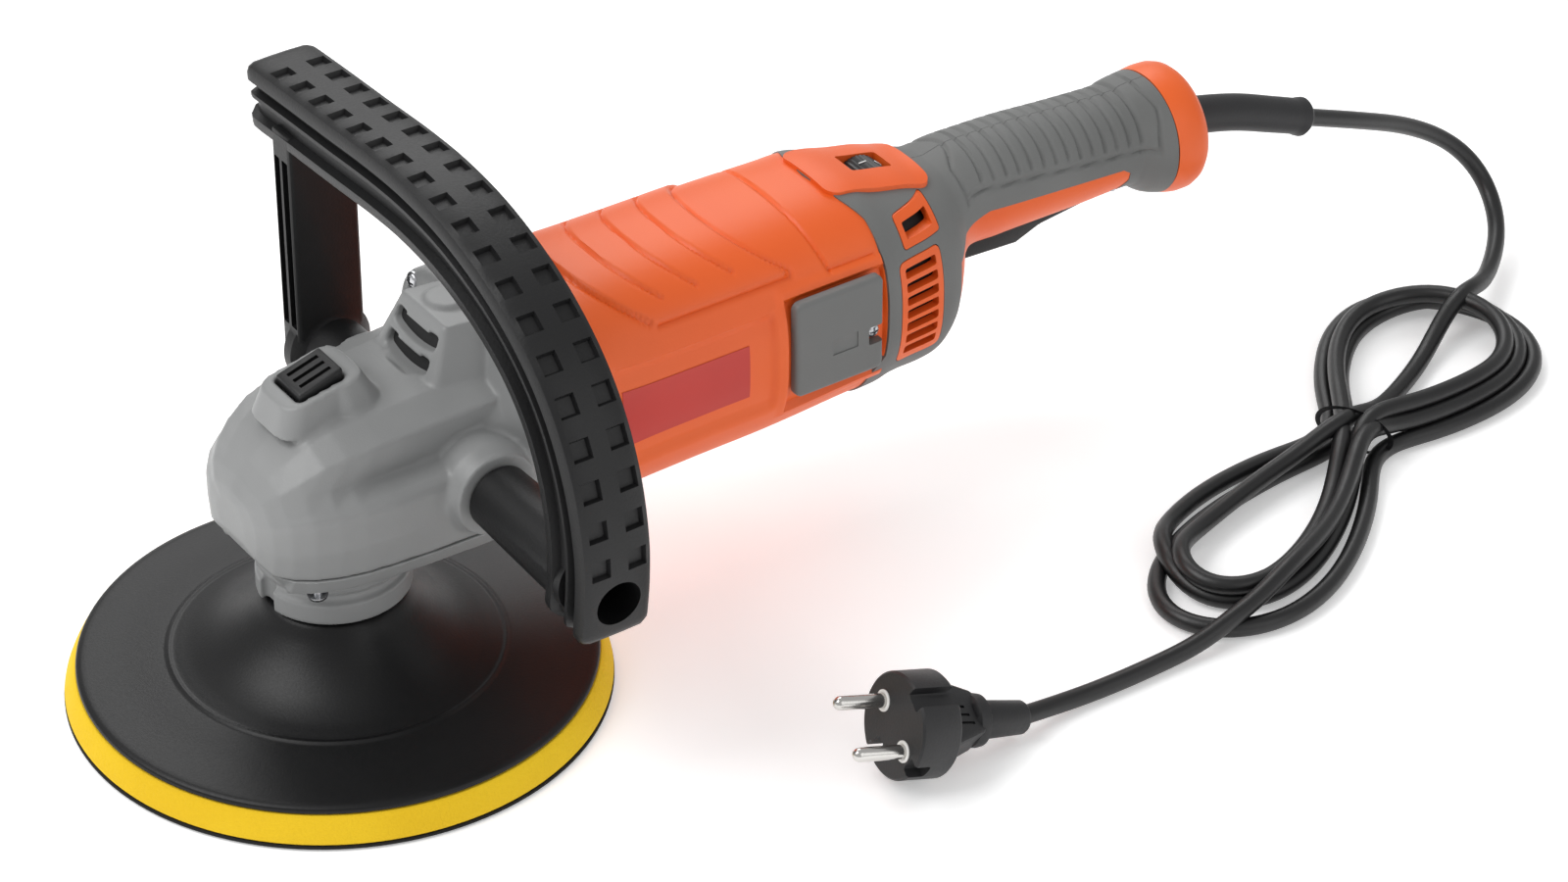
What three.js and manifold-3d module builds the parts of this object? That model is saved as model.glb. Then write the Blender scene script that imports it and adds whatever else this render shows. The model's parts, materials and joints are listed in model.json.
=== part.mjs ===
// Rotary polisher: right-angle gear head on a motor body, two-legged D-handle, 180 mm backing pad,
// rear handle with paddle lever, mains cord with its hank and plug.
// Millimetres, +Z up. The origin is the centre of the pad's underside, +X runs back along the body
// and -Y is the user's right.
import * as THREE from "three";
import { ConvexGeometry } from "three/addons/geometries/ConvexGeometry.js";
import { mergeVertices } from "three/addons/utils/BufferGeometryUtils.js";
import Module from "manifold-3d";

const wasm = await Module();
wasm.setup();

// ---- driving dimensions ----
const GAP = 0.3; // clearance between pieces that touch
const PAD_RADIUS = 90;
const FOAM_TOP = 10.4;
const MOTOR_Z = 89; // height of the armature axis
const HANDLE_X = 37; // plane of the D-handle and its two bosses
const HANDLE_Z = 83.5; // height of the bosses
const BOSS_FACE = 43; // half width over the boss faces
const GRIP_WIDTH = 26;
const GRIP_DEPTH = 25;
const LEG_INNER = 59; // inner and outer faces of the far leg
const LEG_OUTER = 70.5;
const SLEEVE_END = 102; // where the near sleeve runs into the grip
const BOLT_HOLE = 4.4; // radius of the handle bolts' holes
const BOLT_RECESS = 8; // and of the recesses for their heads
const GEAR_TEETH = 40;
const PINION_TEETH = 10;
const GEAR_RADIUS = 27; // pitch radius of the crown gear at its outer end
const GEAR_INNER = 18; // radius where the teeth end
const MODULE_SLOPE = 0.05; // tooth module per millimetre from the apex
const TOOTH_HALF = 0.029; // half thickness on the pitch line, per millimetre from the apex
const LOCK_RADIUS = 11.2; // radius of the ring of lock holes in the crown gear
const HOUSING_FRONT = 62;
const HOUSING_REAR = 192;
const SHELL_REAR = 326.2;
const WALL = 2.6;
const CORD_RADIUS = 3.2;
const EXIT_Z = 96.8; // height of the cord's way out through the end cap
const RELIEF_END = new THREE.Vector3(401, 0, 77);
const RELIEF_HEADING = new THREE.Vector3(0.79, 0, -0.61);
const PLUG_FACE = new THREE.Vector3(118.5, -146, 21);
const PLUG_AXIS = new THREE.Vector3(-0.954, 0.1, 0.281).normalize();
const PLUG_SIDE = new THREE.Vector3(0.216, 0.878, 0.43);
const PLUG_LENGTH = 50; // from the face to the end of its sleeve
const PIN_SPACING = 19;

// ---- materials ----
const material = (color, roughness, metalness = 0) =>
  new THREE.MeshStandardMaterial({ color, roughness, metalness });
const orange = material("#f0622a", 0.45);
const greyRubber = material("#7c7c7b", 0.7);
const greyPaint = material("#9a9b9b", 0.45, 0.2);
const black = material("#1c1c1e", 0.5);
const blackRubber = material("#18181a", 0.65);
const yellowFoam = material("#f2dc1c", 0.9);
const steel = material("#c4c6c8", 0.3, 1);
const darkSteel = material("#55575a", 0.5, 1);
const copper = material("#b8703a", 0.4, 1);
const carbon = material("#2e2e30", 0.8);
const board = material("#2b5a3c", 0.6);

// ---- solids: closed geometries turned into bodies that can be joined and cut ----
function body(vertices, triangles) {
  const at = (i) => new THREE.Vector3().fromArray(vertices, 3 * i);
  let volume = 0;
  const kept = [];
  for (let i = 0; i < triangles.length; i += 3) {
    const [a, b, c] = [triangles[i], triangles[i + 1], triangles[i + 2]];
    if (a === b || b === c || c === a) continue;
    volume += at(a).dot(at(b).cross(at(c)));
    kept.push(a, b, c);
  }
  if (volume < 0) kept.reverse();
  return new wasm.Manifold(
    new wasm.Mesh({
      numProp: 3,
      vertProperties: Float32Array.from(vertices),
      triVerts: Uint32Array.from(kept),
    }),
  );
}

function solid(geometry) {
  geometry.deleteAttribute("normal");
  geometry.deleteAttribute("uv");
  const merged = mergeVertices(geometry, 1e-3);
  return body(merged.getAttribute("position").array, merged.index.array);
}

const join = (first, ...others) => others.reduce((a, b) => a.add(b), first);
const cut = (first, ...others) => others.reduce((a, b) => a.subtract(b), first);
const mirrorY = (vertices) => vertices.map((v, i) => (i % 3 === 1 ? -v : v));

// The same body on the other side of the plane y = 0.
function mirrored(made) {
  const { vertProperties, triVerts } = made.getMesh();
  return body(mirrorY(Array.from(vertProperties)), triVerts);
}

const bothSides = (made) => join(made, mirrored(made));

// An outline drawn in the plane across an axis and extruded along it: (y, z), (x, z) or (x, y).
const ACROSS = {
  x: new THREE.Matrix4().set(0, 0, 1, 0, 1, 0, 0, 0, 0, 1, 0, 0, 0, 0, 0, 1),
  y: new THREE.Matrix4().set(1, 0, 0, 0, 0, 0, -1, 0, 0, 1, 0, 0, 0, 0, 0, 1),
  z: new THREE.Matrix4(),
};

function extrude(axis, outline, from, to, curveSegments = 8) {
  const shape = Array.isArray(outline)
    ? new THREE.Shape(outline.map(([u, v]) => new THREE.Vector2(u, v)))
    : outline;
  const geometry = new THREE.ExtrudeGeometry(shape, {
    depth: to - from,
    bevelEnabled: false,
    curveSegments,
  });
  geometry.translate(0, 0, axis === "y" ? -to : from);
  return solid(geometry.applyMatrix4(ACROSS[axis]));
}

const box = (x0, y0, z0, x1, y1, z1) =>
  solid(
    new THREE.BoxGeometry(x1 - x0, y1 - y0, z1 - z0).translate(
      (x0 + x1) / 2,
      (y0 + y1) / 2,
      (z0 + z1) / 2,
    ),
  );

const hull = (...points) =>
  solid(new ConvexGeometry(points.map((p) => new THREE.Vector3(...p))));

// A body of revolution about a line along an axis, through (a, b) in the plane across it.
// Its profile is a list of [radius, height] that starts and ends on the axis or is closed here.
function turned(axis, a, b, profile, segments = 32) {
  const outline = profile[0][0] === 0 ? profile : [...profile, profile[0]];
  const geometry = new THREE.LatheGeometry(
    outline.map(([r, h]) => new THREE.Vector2(r, h)),
    segments,
  );
  if (axis === "z") geometry.rotateX(Math.PI / 2).translate(a, b, 0);
  if (axis === "x") geometry.rotateZ(-Math.PI / 2).translate(0, a, b);
  if (axis === "y") geometry.translate(a, 0, b);
  return solid(geometry);
}

const cylinder = (axis, a, b, radius, from, to, segments = 24) =>
  turned(axis, a, b, [[0, from], [radius, from], [radius, to], [0, to]], segments);

const ring = (axis, a, b, inner, outer, from, to, segments = 32) =>
  turned(axis, a, b, [[inner, from], [outer, from], [outer, to], [inner, to]], segments);

// A body along X with a rounded section. Each section is
// [x, height of its centre, half height, half width, squareness].
function loft(sections, segments = 40) {
  const geometry = new THREE.CylinderGeometry(1, 1, 1, segments, sections.length - 1);
  const position = geometry.getAttribute("position");
  const rounded = (c, power) => Math.sign(c) * Math.abs(c) ** (2 / power);
  for (let i = 0; i < position.count; i++) {
    const row = Math.round((position.getY(i) + 0.5) * (sections.length - 1));
    const [x, z, high, wide, power] = sections[row];
    position.setXYZ(
      i,
      x,
      wide * rounded(position.getX(i), power),
      z + high * rounded(position.getZ(i), power),
    );
  }
  return solid(geometry);
}

const grown = (sections, by) =>
  sections.map(([x, z, high, wide, power]) => [x, z, high + by, wide + by, power]);

// A bar along a curve, its section a rounded oblong of the given half sizes.
function bar(curve, halfWide, halfDeep, steps, sides, power = 2) {
  const outline = Array.from({ length: sides }, (_, i) => {
    const angle = (2 * Math.PI * (i + 0.5)) / sides;
    const side = (c) => Math.sign(c) * Math.abs(c) ** (2 / power);
    return new THREE.Vector2(
      halfWide * side(Math.cos(angle)),
      halfDeep * side(Math.sin(angle)),
    );
  });
  return solid(
    new THREE.ExtrudeGeometry(new THREE.Shape(outline), {
      steps,
      extrudePath: curve,
      bevelEnabled: false,
    }),
  );
}

// ---- placing the pieces ----
const polisher = new THREE.Group();

function piece(name, made, finish, parent = polisher) {
  const { vertProperties, triVerts } = made.getMesh();
  const geometry = new THREE.BufferGeometry()
    .setAttribute("position", new THREE.BufferAttribute(vertProperties, 3))
    .setIndex(new THREE.BufferAttribute(triVerts, 1));
  geometry.computeVertexNormals();
  const mesh = new THREE.Mesh(geometry, finish);
  mesh.name = name;
  parent.add(mesh);
  return mesh;
}

// ---- polishing pad: hook layer, foam and backing disc ----
function pad() {
  piece("hook_layer", cylinder("z", 0, 0, PAD_RADIUS, 0, 1.3, 56), blackRubber);
  piece(
    "foam_layer",
    turned("z", 0, 0, [[0, 1.6], [89.6, 1.6], [88.4, 5], [86, FOAM_TOP], [0, FOAM_TOP]], 56),
    yellowFoam,
  );
  const low = FOAM_TOP + GAP;
  const profile = [
    [0, low], [85.6, low], [85.6, 12], [83.5, 13.2], [55, 16], [44, 19.5], [33, 26.5],
    [26, 34], [23, 38.5], [7.3, 38.5], [7.3, 19.5], [0, 19.5],
  ];
  piece("backing_disc", turned("z", 0, 0, profile, 48), black);
}

// ---- spindle with its gear and bearings ----
function spindle() {
  const profile = [
    [0, 20], [6.9, 20], [6.9, 39.5], [8.5, 40.5], [8.5, 68.3], [10.5, 68.5], [10.5, 71.4],
    [7.9, 71.6], [7.9, 85], [6, 86], [6, 96.5], [3.5, 96.7], [3.5, 102.6], [0, 102.6],
  ];
  piece("spindle", turned("z", 0, 0, profile, 20), steel);
  piece("spindle_bearing_lower", ring("z", 0, 0, 8.8, 20, 56, 68), steel);
  piece("spindle_bearing_upper", ring("z", 0, 0, 3.8, 8, 97, 102.5, 24), steel);
}

// One bevel tooth: a wedge with straight flanks, smaller towards the apex of the gear pair.
// pitchPoint gives the place of a point from its distance from the apex, its height above the
// pitch line and its distance to the side.
function tooth(far, near, pitchPoint) {
  const flank = Math.tan(THREE.MathUtils.degToRad(20));
  const corners = [];
  for (const distance of [far, near]) {
    const module = MODULE_SLOPE * distance;
    for (const height of [-1.45 * module, 0.8 * module]) {
      const half = TOOTH_HALF * distance - flank * height;
      for (const side of [-half, half]) corners.push(pitchPoint(distance, height, side));
    }
  }
  return hull(...corners);
}

const pinionPitch = (distance) => (distance * PINION_TEETH) / GEAR_TEETH;

function crownGear() {
  const root = (r) => MOTOR_Z - pinionPitch(r) - 1.25 * MODULE_SLOPE * r;
  const profile = [
    [8.3, 72], [24, 72], [27.4, 75], [27.4, root(27.4)], [17.8, root(17.8)],
    [16.8, 79], [8.3, 79],
  ];
  let gear = turned("z", 0, 0, profile, 32);
  for (let i = 0; i < GEAR_TEETH; i++) {
    const angle = (2 * Math.PI * (i + 0.5)) / GEAR_TEETH;
    const [c, s] = [Math.cos(angle), Math.sin(angle)];
    const place = (r, up, side) => [
      r * c - side * s,
      r * s + side * c,
      MOTOR_Z - pinionPitch(r) + up,
    ];
    gear = join(gear, tooth(GEAR_RADIUS, GEAR_INNER, place));
  }
  for (let i = 0; i < 4; i++) {
    const angle = (Math.PI * i) / 2;
    const [x, y] = [LOCK_RADIUS * Math.cos(angle), LOCK_RADIUS * Math.sin(angle)];
    gear = cut(gear, cylinder("z", x, y, 2.3, 70, 80, 8));
  }
  piece("crown_gear", gear, darkSteel);
}

function pinion() {
  const root = (x) => pinionPitch(x) - 1.25 * MODULE_SLOPE * x;
  const blank = [
    [0, 17.6], [root(17.6), 17.6], [root(27.2), 27.2], [6, 27.6], [6, 34], [3.3, 34],
    [3.3, 22], [0, 22],
  ];
  let gear = turned("x", 0, MOTOR_Z, blank, 20);
  for (let i = 0; i < PINION_TEETH; i++) {
    const angle = (2 * Math.PI * i) / PINION_TEETH - Math.PI / 2;
    const [c, s] = [Math.cos(angle), Math.sin(angle)];
    const place = (x, up, side) => {
      const r = pinionPitch(x) + up;
      return [x, r * c - side * s, MOTOR_Z + r * s + side * c];
    };
    gear = join(gear, tooth(GEAR_RADIUS, GEAR_INNER, place));
  }
  piece("pinion", gear, darkSteel);
}

// ---- gear head: case, bearing cover, screws ----
const PARTING_Z = 66; // joint between the gear case and the bearing cover
const COVER_LOW = 58; // underside of the bearing cover's plate
const SCREW_SEAT = 52.6; // where the flange screws' heads seat
const COVER_SCREWS = [[-20, -25], [-20, 25], [35, -26], [35, 26]];
const FLANGE_SCREWS = [[-30, -31], [-30, 31], [30, -31], [30, 31]];

// Plan of the gear head, rounded at the nose.
function headPlan(scale, rear) {
  const plan = new THREE.Shape();
  plan.moveTo(rear, -36 * scale);
  plan.lineTo(6, -37 * scale);
  plan.bezierCurveTo(-12 * scale, -37 * scale, -29 * scale, -26 * scale, -33 * scale, -6);
  plan.lineTo(-33 * scale, 6);
  plan.bezierCurveTo(-29 * scale, 26 * scale, -12 * scale, 37 * scale, 6, 37 * scale);
  plan.lineTo(rear, 36 * scale);
  return plan;
}

function gearCase() {
  const fromSide = [
    [-32, PARTING_Z], [-36, 78], [-35.6, 86], [-30, 94], [-20, 105], [-14, 111], [10, 112.5],
    [52, 116], [52, PARTING_Z],
  ];
  const fromFront = [
    [-36.5, PARTING_Z], [-39, 86], [-37, 92], [-28, 98], [-15, 112], [-15, 120],
    [15, 120], [15, 112], [28, 98], [37, 92], [39, 86], [36.5, PARTING_Z],
  ];
  const head = extrude("z", headPlan(1.1, 52), PARTING_Z, 118, 6)
    .intersect(extrude("y", fromSide, -50, 50))
    .intersect(extrude("x", fromFront, -50, 52));
  const neck = loft([
    [18, 90, 22, 34, 3],
    [44, 90, 24, 37, 3],
    [52, MOTOR_Z, 39.5, 39.5, 4],
    [HOUSING_FRONT - GAP, MOTOR_Z, 39.5, 39.5, 4],
  ]);
  const ventBlock = hull(
    [28, -17, 108], [28, 17, 108], [38.2, -14, 130.6], [38.2, 14, 130.6],
    [58, -14, 128.3], [58, 14, 128.3], [58, -25, 108], [58, 25, 108],
  );
  const lockSurround = hull(
    [-21, -12, 106], [-21, 12, 106], [10, -12, 110], [10, 12, 110],
    [-15, -10, 119], [-15, 10, 119], [6, -10, 122.5], [6, 10, 122.5],
  );
  const boss = bothSides(cylinder("y", HANDLE_X, HANDLE_Z, 14.6, 20, BOSS_FACE, 24));
  const cap = cylinder("z", 47, 2, 7, 118, 130.6, 16);
  const screwHole = cylinder("y", HANDLE_X, HANDLE_Z, BOLT_HOLE, 20.5, BOSS_FACE + 1, 10);
  let made = cut(
    join(head, neck, ventBlock, lockSurround, boss, cap),
    cylinder("z", 0, 0, 29.8, 60, 94, 28),
    cylinder("z", 0, 0, 8.3, 90, 103.5, 20),
    cylinder("x", 0, MOTOR_Z, 9.2, 8, 50, 16),
    cylinder("x", 0, MOTOR_Z, 14.3, 37.7, 47.5, 20),
    cylinder("x", 0, MOTOR_Z, 36.3, 50, 63, 32),
    bothSides(screwHole),
    cylinder("z", -LOCK_RADIUS, 0, 2.2, 90, 125, 12),
    box(-13.4, -8.1, 112, 3.9, 8.1, 130),
  );
  for (const slot of [115.4, 121.4]) made = cut(made, box(26, -11, slot, 53, 11, slot + 3));
  for (const [x, y] of COVER_SCREWS) made = cut(made, cylinder("z", x, y, 2, 60, 77, 8));
  for (const [y, z] of FLANGE_SCREWS) {
    made = cut(
      made,
      cylinder("x", y, MOTOR_Z + z, 2.1, 45, 64, 8),
      cylinder("x", y, MOTOR_Z + z, 4, 40, SCREW_SEAT, 12),
    );
  }
  piece("gear_case", made, greyPaint);
}

function bearingCover() {
  const collar = [
    [0, 40], [25.5, 40], [25.5, 48], [24, 49], [24, 51], [25.5, 52], [25.5, 60], [0, 60],
  ];
  let made = join(
    extrude("z", headPlan(0.97, 42), COVER_LOW, PARTING_Z - GAP, 6),
    turned("z", 0, 0, collar, 32),
  );
  made = cut(
    made,
    cylinder("z", 0, 0, 10, 39, 57, 20),
    cylinder("z", 0, 0, 20.3, 55.7, 67, 28),
    box(-30, -4, 39, -22.5, 4, 49.5),
  );
  for (const [x, y] of COVER_SCREWS) {
    made = cut(made, cylinder("z", x, y, 2, COVER_LOW - 2, PARTING_Z + 1, 8));
  }
  piece("bearing_cover", made, greyPaint);
}

// A pan-head screw along +Z from under its head, with the head below.
const panScrew = (head, shank, length) =>
  turned("z", 0, 0, [
    [0, -2.4], [head * 0.7, -2.2], [head, -1], [head, 0], [shank, 0], [shank, length],
    [0, length],
  ], 9);

function headScrews() {
  COVER_SCREWS.forEach(([x, y], i) => {
    const made = piece(`cover_screw_${i + 1}`, panScrew(3.4, 1.7, 17), steel);
    made.position.set(x, y, COVER_LOW - GAP);
  });
  FLANGE_SCREWS.forEach(([y, z], i) => {
    const made = piece(`flange_screw_${i + 1}`, panScrew(3.4, 1.8, 20), steel);
    made.position.set(SCREW_SEAT - GAP, y, MOTOR_Z + z);
    made.rotation.y = Math.PI / 2;
  });
}

// ---- spindle lock: button, pin and return spring ----
function spindleLock() {
  const button = hull(
    [-13, -7.7, 117], [-13, 7.7, 117], [3.5, -7.7, 117], [3.5, 7.7, 117],
    [-12.6, -7.4, 120.6], [-12.6, 7.4, 120.6], [2.8, -7.4, 125.4], [2.8, 7.4, 125.4],
  );
  piece("lock_button", button, black);
  piece("lock_pin", cylinder("z", -LOCK_RADIUS, 0, 1.8, 80.6, 117 - GAP, 12), steel);
  const turns = 2.5;
  const coil = new THREE.CatmullRomCurve3(
    Array.from({ length: 21 }, (_, i) => {
      const angle = (2 * Math.PI * turns * i) / 20;
      return new THREE.Vector3(
        -2 + 4 * Math.cos(angle),
        4 * Math.sin(angle),
        112.9 + (3.2 * i) / 20,
      );
    }),
  );
  piece("lock_spring", bar(coil, 0.4, 0.4, 24, 5), steel);
}

// ---- motor ----
const housingSections = [
  [HOUSING_FRONT, MOTOR_Z, 39.5, 39.5, 4],
  [76, MOTOR_Z, 40.4, 40, 3.2],
  [92, MOTOR_Z, 40.4, 39.6, 2.7],
  [150, 89.2, 39.8, 39.2, 2.6],
  [HOUSING_REAR, 89.8, 38.8, 38.4, 2.5],
];
const BRUSH_X = 169;
const COVER_SCREW = [185.6, 88];

function motorHousing() {
  const web = HOUSING_REAR - 9;
  const sideCuts = bothSides(
    join(
      box(153, 37.2, 73.7, 189, 45, 110.3),
      cylinder("y", BRUSH_X, MOTOR_Z, 8, 30, 42, 16),
      cylinder("y", ...COVER_SCREW, 1.6, 26, 40, 10),
    ),
  );
  let made = cut(
    loft(housingSections, 36),
    cylinder("x", 0, MOTOR_Z, 35.4, HOUSING_FRONT - 2, web, 32),
    cylinder("x", 0, MOTOR_Z, 11.3, web - 1, HOUSING_REAR + 1, 20),
    box(185.7, -13.3, 118.3, HOUSING_REAR + 1, 13.3, 140),
    sideCuts,
  );
  for (const [y, z] of FLANGE_SCREWS)
    made = cut(made, cylinder("x", y, MOTOR_Z + z, 2.1, 60, 74, 8));
  for (let i = 0; i < 6; i++) {
    const angle = (Math.PI * (2 * i + 1)) / 6;
    const [y, z] = [20 * Math.cos(angle), 20 * Math.sin(angle)];
    made = cut(made, cylinder("x", y, MOTOR_Z + z, 5, web - 1, HOUSING_REAR + 1, 8));
  }
  piece("motor_housing", made, orange);
}

function armature() {
  const shaft = [
    [0, 22.4], [3, 22.4], [3, 34.5], [5, 34.7], [5, 60], [6, 60.5], [6, 180], [4, 180.5],
    [4, 191.4], [0, 191.4],
  ];
  piece("armature_shaft", turned("x", 0, MOTOR_Z, shaft, 20), steel);
  const core = [
    [6.3, 88], [17, 89], [19, 96], [22, 97], [22, 145], [19, 146], [16, 153], [6.3, 154],
  ];
  piece("armature_core", turned("x", 0, MOTOR_Z, core, 24), copper);
  piece("commutator", ring("x", 0, MOTOR_Z, 6.3, 13, 160, 178, 24), copper);
  piece("front_bearing", ring("x", 0, MOTOR_Z, 5.3, 14, 38, 47, 24), steel);
  piece("rear_bearing", ring("x", 0, MOTOR_Z, 4.3, 11, 183.5, 190.5, 20), steel);
}

function fan() {
  const hub = [[6.3, 66], [10, 66], [10, 74], [32, 74], [32, 76], [6.3, 76]];
  const blades = 9;
  let made = turned("x", 0, MOTOR_Z, hub, 28);
  for (let i = 0; i < blades; i++) {
    const blade = solid(
      new THREE.BoxGeometry(9, 22, 1.8)
        .translate(70, 20.5, 0)
        .rotateX((2 * Math.PI * i) / blades)
        .translate(0, 0, MOTOR_Z),
    );
    made = join(made, blade);
  }
  piece("fan", made, black);
}

function stator() {
  const profile = [
    [23, 94], [25, 91], [31, 91], [34.8, 98], [34.8, 144], [31, 151], [25, 151], [23, 148],
  ];
  const flats = box(80, -40, MOTOR_Z - 27, 160, 40, MOTOR_Z + 27);
  piece("stator", turned("x", 0, MOTOR_Z, profile, 28).intersect(flats), darkSteel);
}

// Carbon brushes in their holders, and the plates that close the holders' openings.
function brushes() {
  const brush = box(BRUSH_X - 5, 13.6, MOTOR_Z - 3.2, BRUSH_X + 5, 29, MOTOR_Z + 3.2);
  const holder = cut(
    box(BRUSH_X - 6.8, 17, MOTOR_Z - 5, BRUSH_X + 6.8, 33, MOTOR_Z + 5),
    box(BRUSH_X - 5.3, 16, MOTOR_Z - 3.5, BRUSH_X + 5.3, 31.5, MOTOR_Z + 3.5),
  );
  const [screwX, screwZ] = COVER_SCREW;
  const plate = hull(
    [153.5, 37.5, 74.2], [153.5, 37.5, 109.8], [188.5, 37.5, 74.2], [188.5, 37.5, 109.8],
    [153.5, 39, 74.2], [153.5, 39, 109.8], [188.5, 39, 74.2], [188.5, 39, 109.8],
    [155.5, 40.6, 76.2], [155.5, 40.6, 107.8], [186.5, 40.6, 76.2], [186.5, 40.6, 107.8],
  );
  const cover = cut(plate, box(screwX - 3, 37, screwZ - 3, 190, 41, screwZ + 3));
  [["far", (s) => s], ["near", mirrored]].forEach(([side, place]) => {
    piece(`brush_${side}`, place(brush), carbon);
    piece(`brush_holder_${side}`, place(holder), copper);
    piece(`brush_cover_${side}`, place(cover), greyRubber);
    const turn = side === "far" ? 1 : -1;
    const screw = piece(`brush_cover_screw_${side}`, panScrew(2.6, 1.3, 8), steel);
    screw.position.set(screwX, 37.5 * turn, screwZ);
    screw.rotation.x = (Math.PI / 2) * turn;
  });
}

// ---- rear body and handle ----
const shellSections = [
  [HOUSING_REAR + GAP, 89.8, 38.6, 38.2, 2.5],
  [204, 88.2, 37.4, 36.8, 2.4],
  [214, 87, 36.4, 35.6, 2.4],
  [222, 86.2, 34.8, 33.4, 2.4],
  [229, 87.8, 32.4, 29.5, 2.3],
  [233, 91, 28.8, 25.6, 2.2],
  [236.5, 97, 23.6, 21.6, 2.2],
  [243, 101.8, 20, 19.2, 2.2],
  [270, 101.6, 19.6, 18.6, 2.2],
  [290, 100.6, 18.8, 18, 2.2],
  [311, 100, 18, 17.5, 2.2],
  [316, 99.6, 19, 18.4, 2.2],
  [321, 98, 21, 20.4, 2.1],
  [SHELL_REAR, 97, 22, 21.6, 2.1],
];
const DIAL = [208.5, 116.6];
const LEVER_PIN = [305, 88];

function insideOf(sections) {
  const inner = grown(sections, -WALL);
  inner[0][0] -= 3;
  inner.at(-1)[0] += 3;
  return loft(inner, 20);
}

function rearBody() {
  const inside = insideOf(shellSections);
  const tube = cut(loft(shellSections, 28), inside);
  const grilleWindow = box(198.2, 20, 67.5, 217.3, 45, 107);
  const smallWindow = box(203.5, 15, 111.4, 216, 45, 117.2);
  const shell = cut(
    tube,
    box(190, -13.3, 118.3, 219.8, 13.3, 140),
    bothSides(join(grilleWindow, smallWindow)),
    box(238.5, -9.6, 60, 311, 9.6, 95.5),
    cylinder("y", ...LEVER_PIN, 1.8, -13.2, 13.2, 12),
  );
  piece("handle_shell_far", shell.intersect(box(180, GAP / 2, 30, 340, 60, 150)), greyRubber);
  piece("handle_shell_near", shell.intersect(box(180, -60, 30, 340, -GAP / 2, 150)), greyRubber);

  let grille = tube.intersect(box(198.5, 18, 67.8, 217, 45, 106.7));
  for (let i = 0; i < 7; i++) {
    const z = 70.6 + 5.2 * i;
    grille = cut(grille, box(200.8, 10, z, 214.8, 50, z + 3.2));
  }
  piece("vent_grille_far", grille, orange);
  piece("vent_grille_near", mirrored(grille), orange);

  const bezelSections = [[185, 90, 38.9, 38.3, 2.5], ...shellSections.slice(0, 5)];
  const bezel = loft(grown(bezelSections, 1), 28)
    .intersect(box(186, -13, 118.6, 219.5, 13, 140))
    .subtract(inside)
    .subtract(box(200, -5.3, 100, 217, 5.3, 140));
  piece("dial_bezel", bezel, orange);
}

function speedDial() {
  const [x, z] = DIAL;
  const ribs = 30;
  const outline = Array.from({ length: 2 * ribs }, (_, i) => {
    const radius = i % 2 ? 9 : 8.6;
    const angle = (Math.PI * i) / ribs;
    return [x + radius * Math.cos(angle), z + radius * Math.sin(angle)];
  });
  piece("speed_dial", extrude("y", outline, -4.9, 4.9), black);
  piece("speed_controller", box(222, -14, 90, 234, 14, 112), board);
}

function paddleLever() {
  const [x, z] = LEVER_PIN;
  const profile = [
    [240, 78.5], [268, 77], [277, 80.8], [300, 83.5], [308.5, 85], [309, 90], [303, 91.5],
    [240, 89],
  ];
  const lever = cut(
    extrude("y", profile, -9, 9),
    cylinder("y", x, z, 1.8, -10, 10, 12),
  );
  piece("paddle_lever", lever, black);
  piece("lever_pin", cylinder("y", x, z, 1.5, -12.9, 12.9, 10), steel);
  piece("switch_body", box(254, -8, 97.5, 292, 8, 112), black);
}

function cordExit() {
  const capSections = [
    [SHELL_REAR + GAP, 97, 22.3, 21.9, 2.1],
    [332, 96.4, 23.4, 23, 2.1],
    [338, 96.2, 22.4, 22, 2.1],
    [341, 96.2, 19.5, 19.2, 2.1],
  ];
  piece(
    "end_cap",
    cut(loft(capSections, 24), cylinder("x", 0, EXIT_Z, 7.5, 320, 350, 20)),
    orange,
  );
  const sleeve = new THREE.CatmullRomCurve3([
    new THREE.Vector3(328, 0, EXIT_Z),
    new THREE.Vector3(343, 0, 96.6),
    new THREE.Vector3(366, 0, 91),
    new THREE.Vector3(386, 0, 83.2),
    RELIEF_END,
  ]);
  piece("strain_relief", bar(sleeve, 6.8, 6.8, 12, 12), blackRubber);
  piece(
    "cord_clamp",
    cut(box(316, -11, 92, 324, 11, 101.6), cylinder("x", 0, EXIT_Z, 3.6, 310, 330, 16)),
    black,
  );
}

// ---- D-handle: one moulding with a sleeve on the near boss and a leg on the far boss ----
function gripCurve() {
  const at = (y, z) => new THREE.Vector3(HANDLE_X, y, z);
  const curve = new THREE.CurvePath();
  curve.add(new THREE.LineCurve3(at(80, 172.5), at(8, 177)));
  curve.add(
    new THREE.CubicBezierCurve3(at(8, 177), at(-56, 181), at(-SLEEVE_END, 150), at(-SLEEVE_END, 100)),
  );
  curve.add(new THREE.LineCurve3(at(-SLEEVE_END, 100), at(-99, 70)));
  return new THREE.CatmullRomCurve3(curve.getSpacedPoints(18));
}

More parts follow.
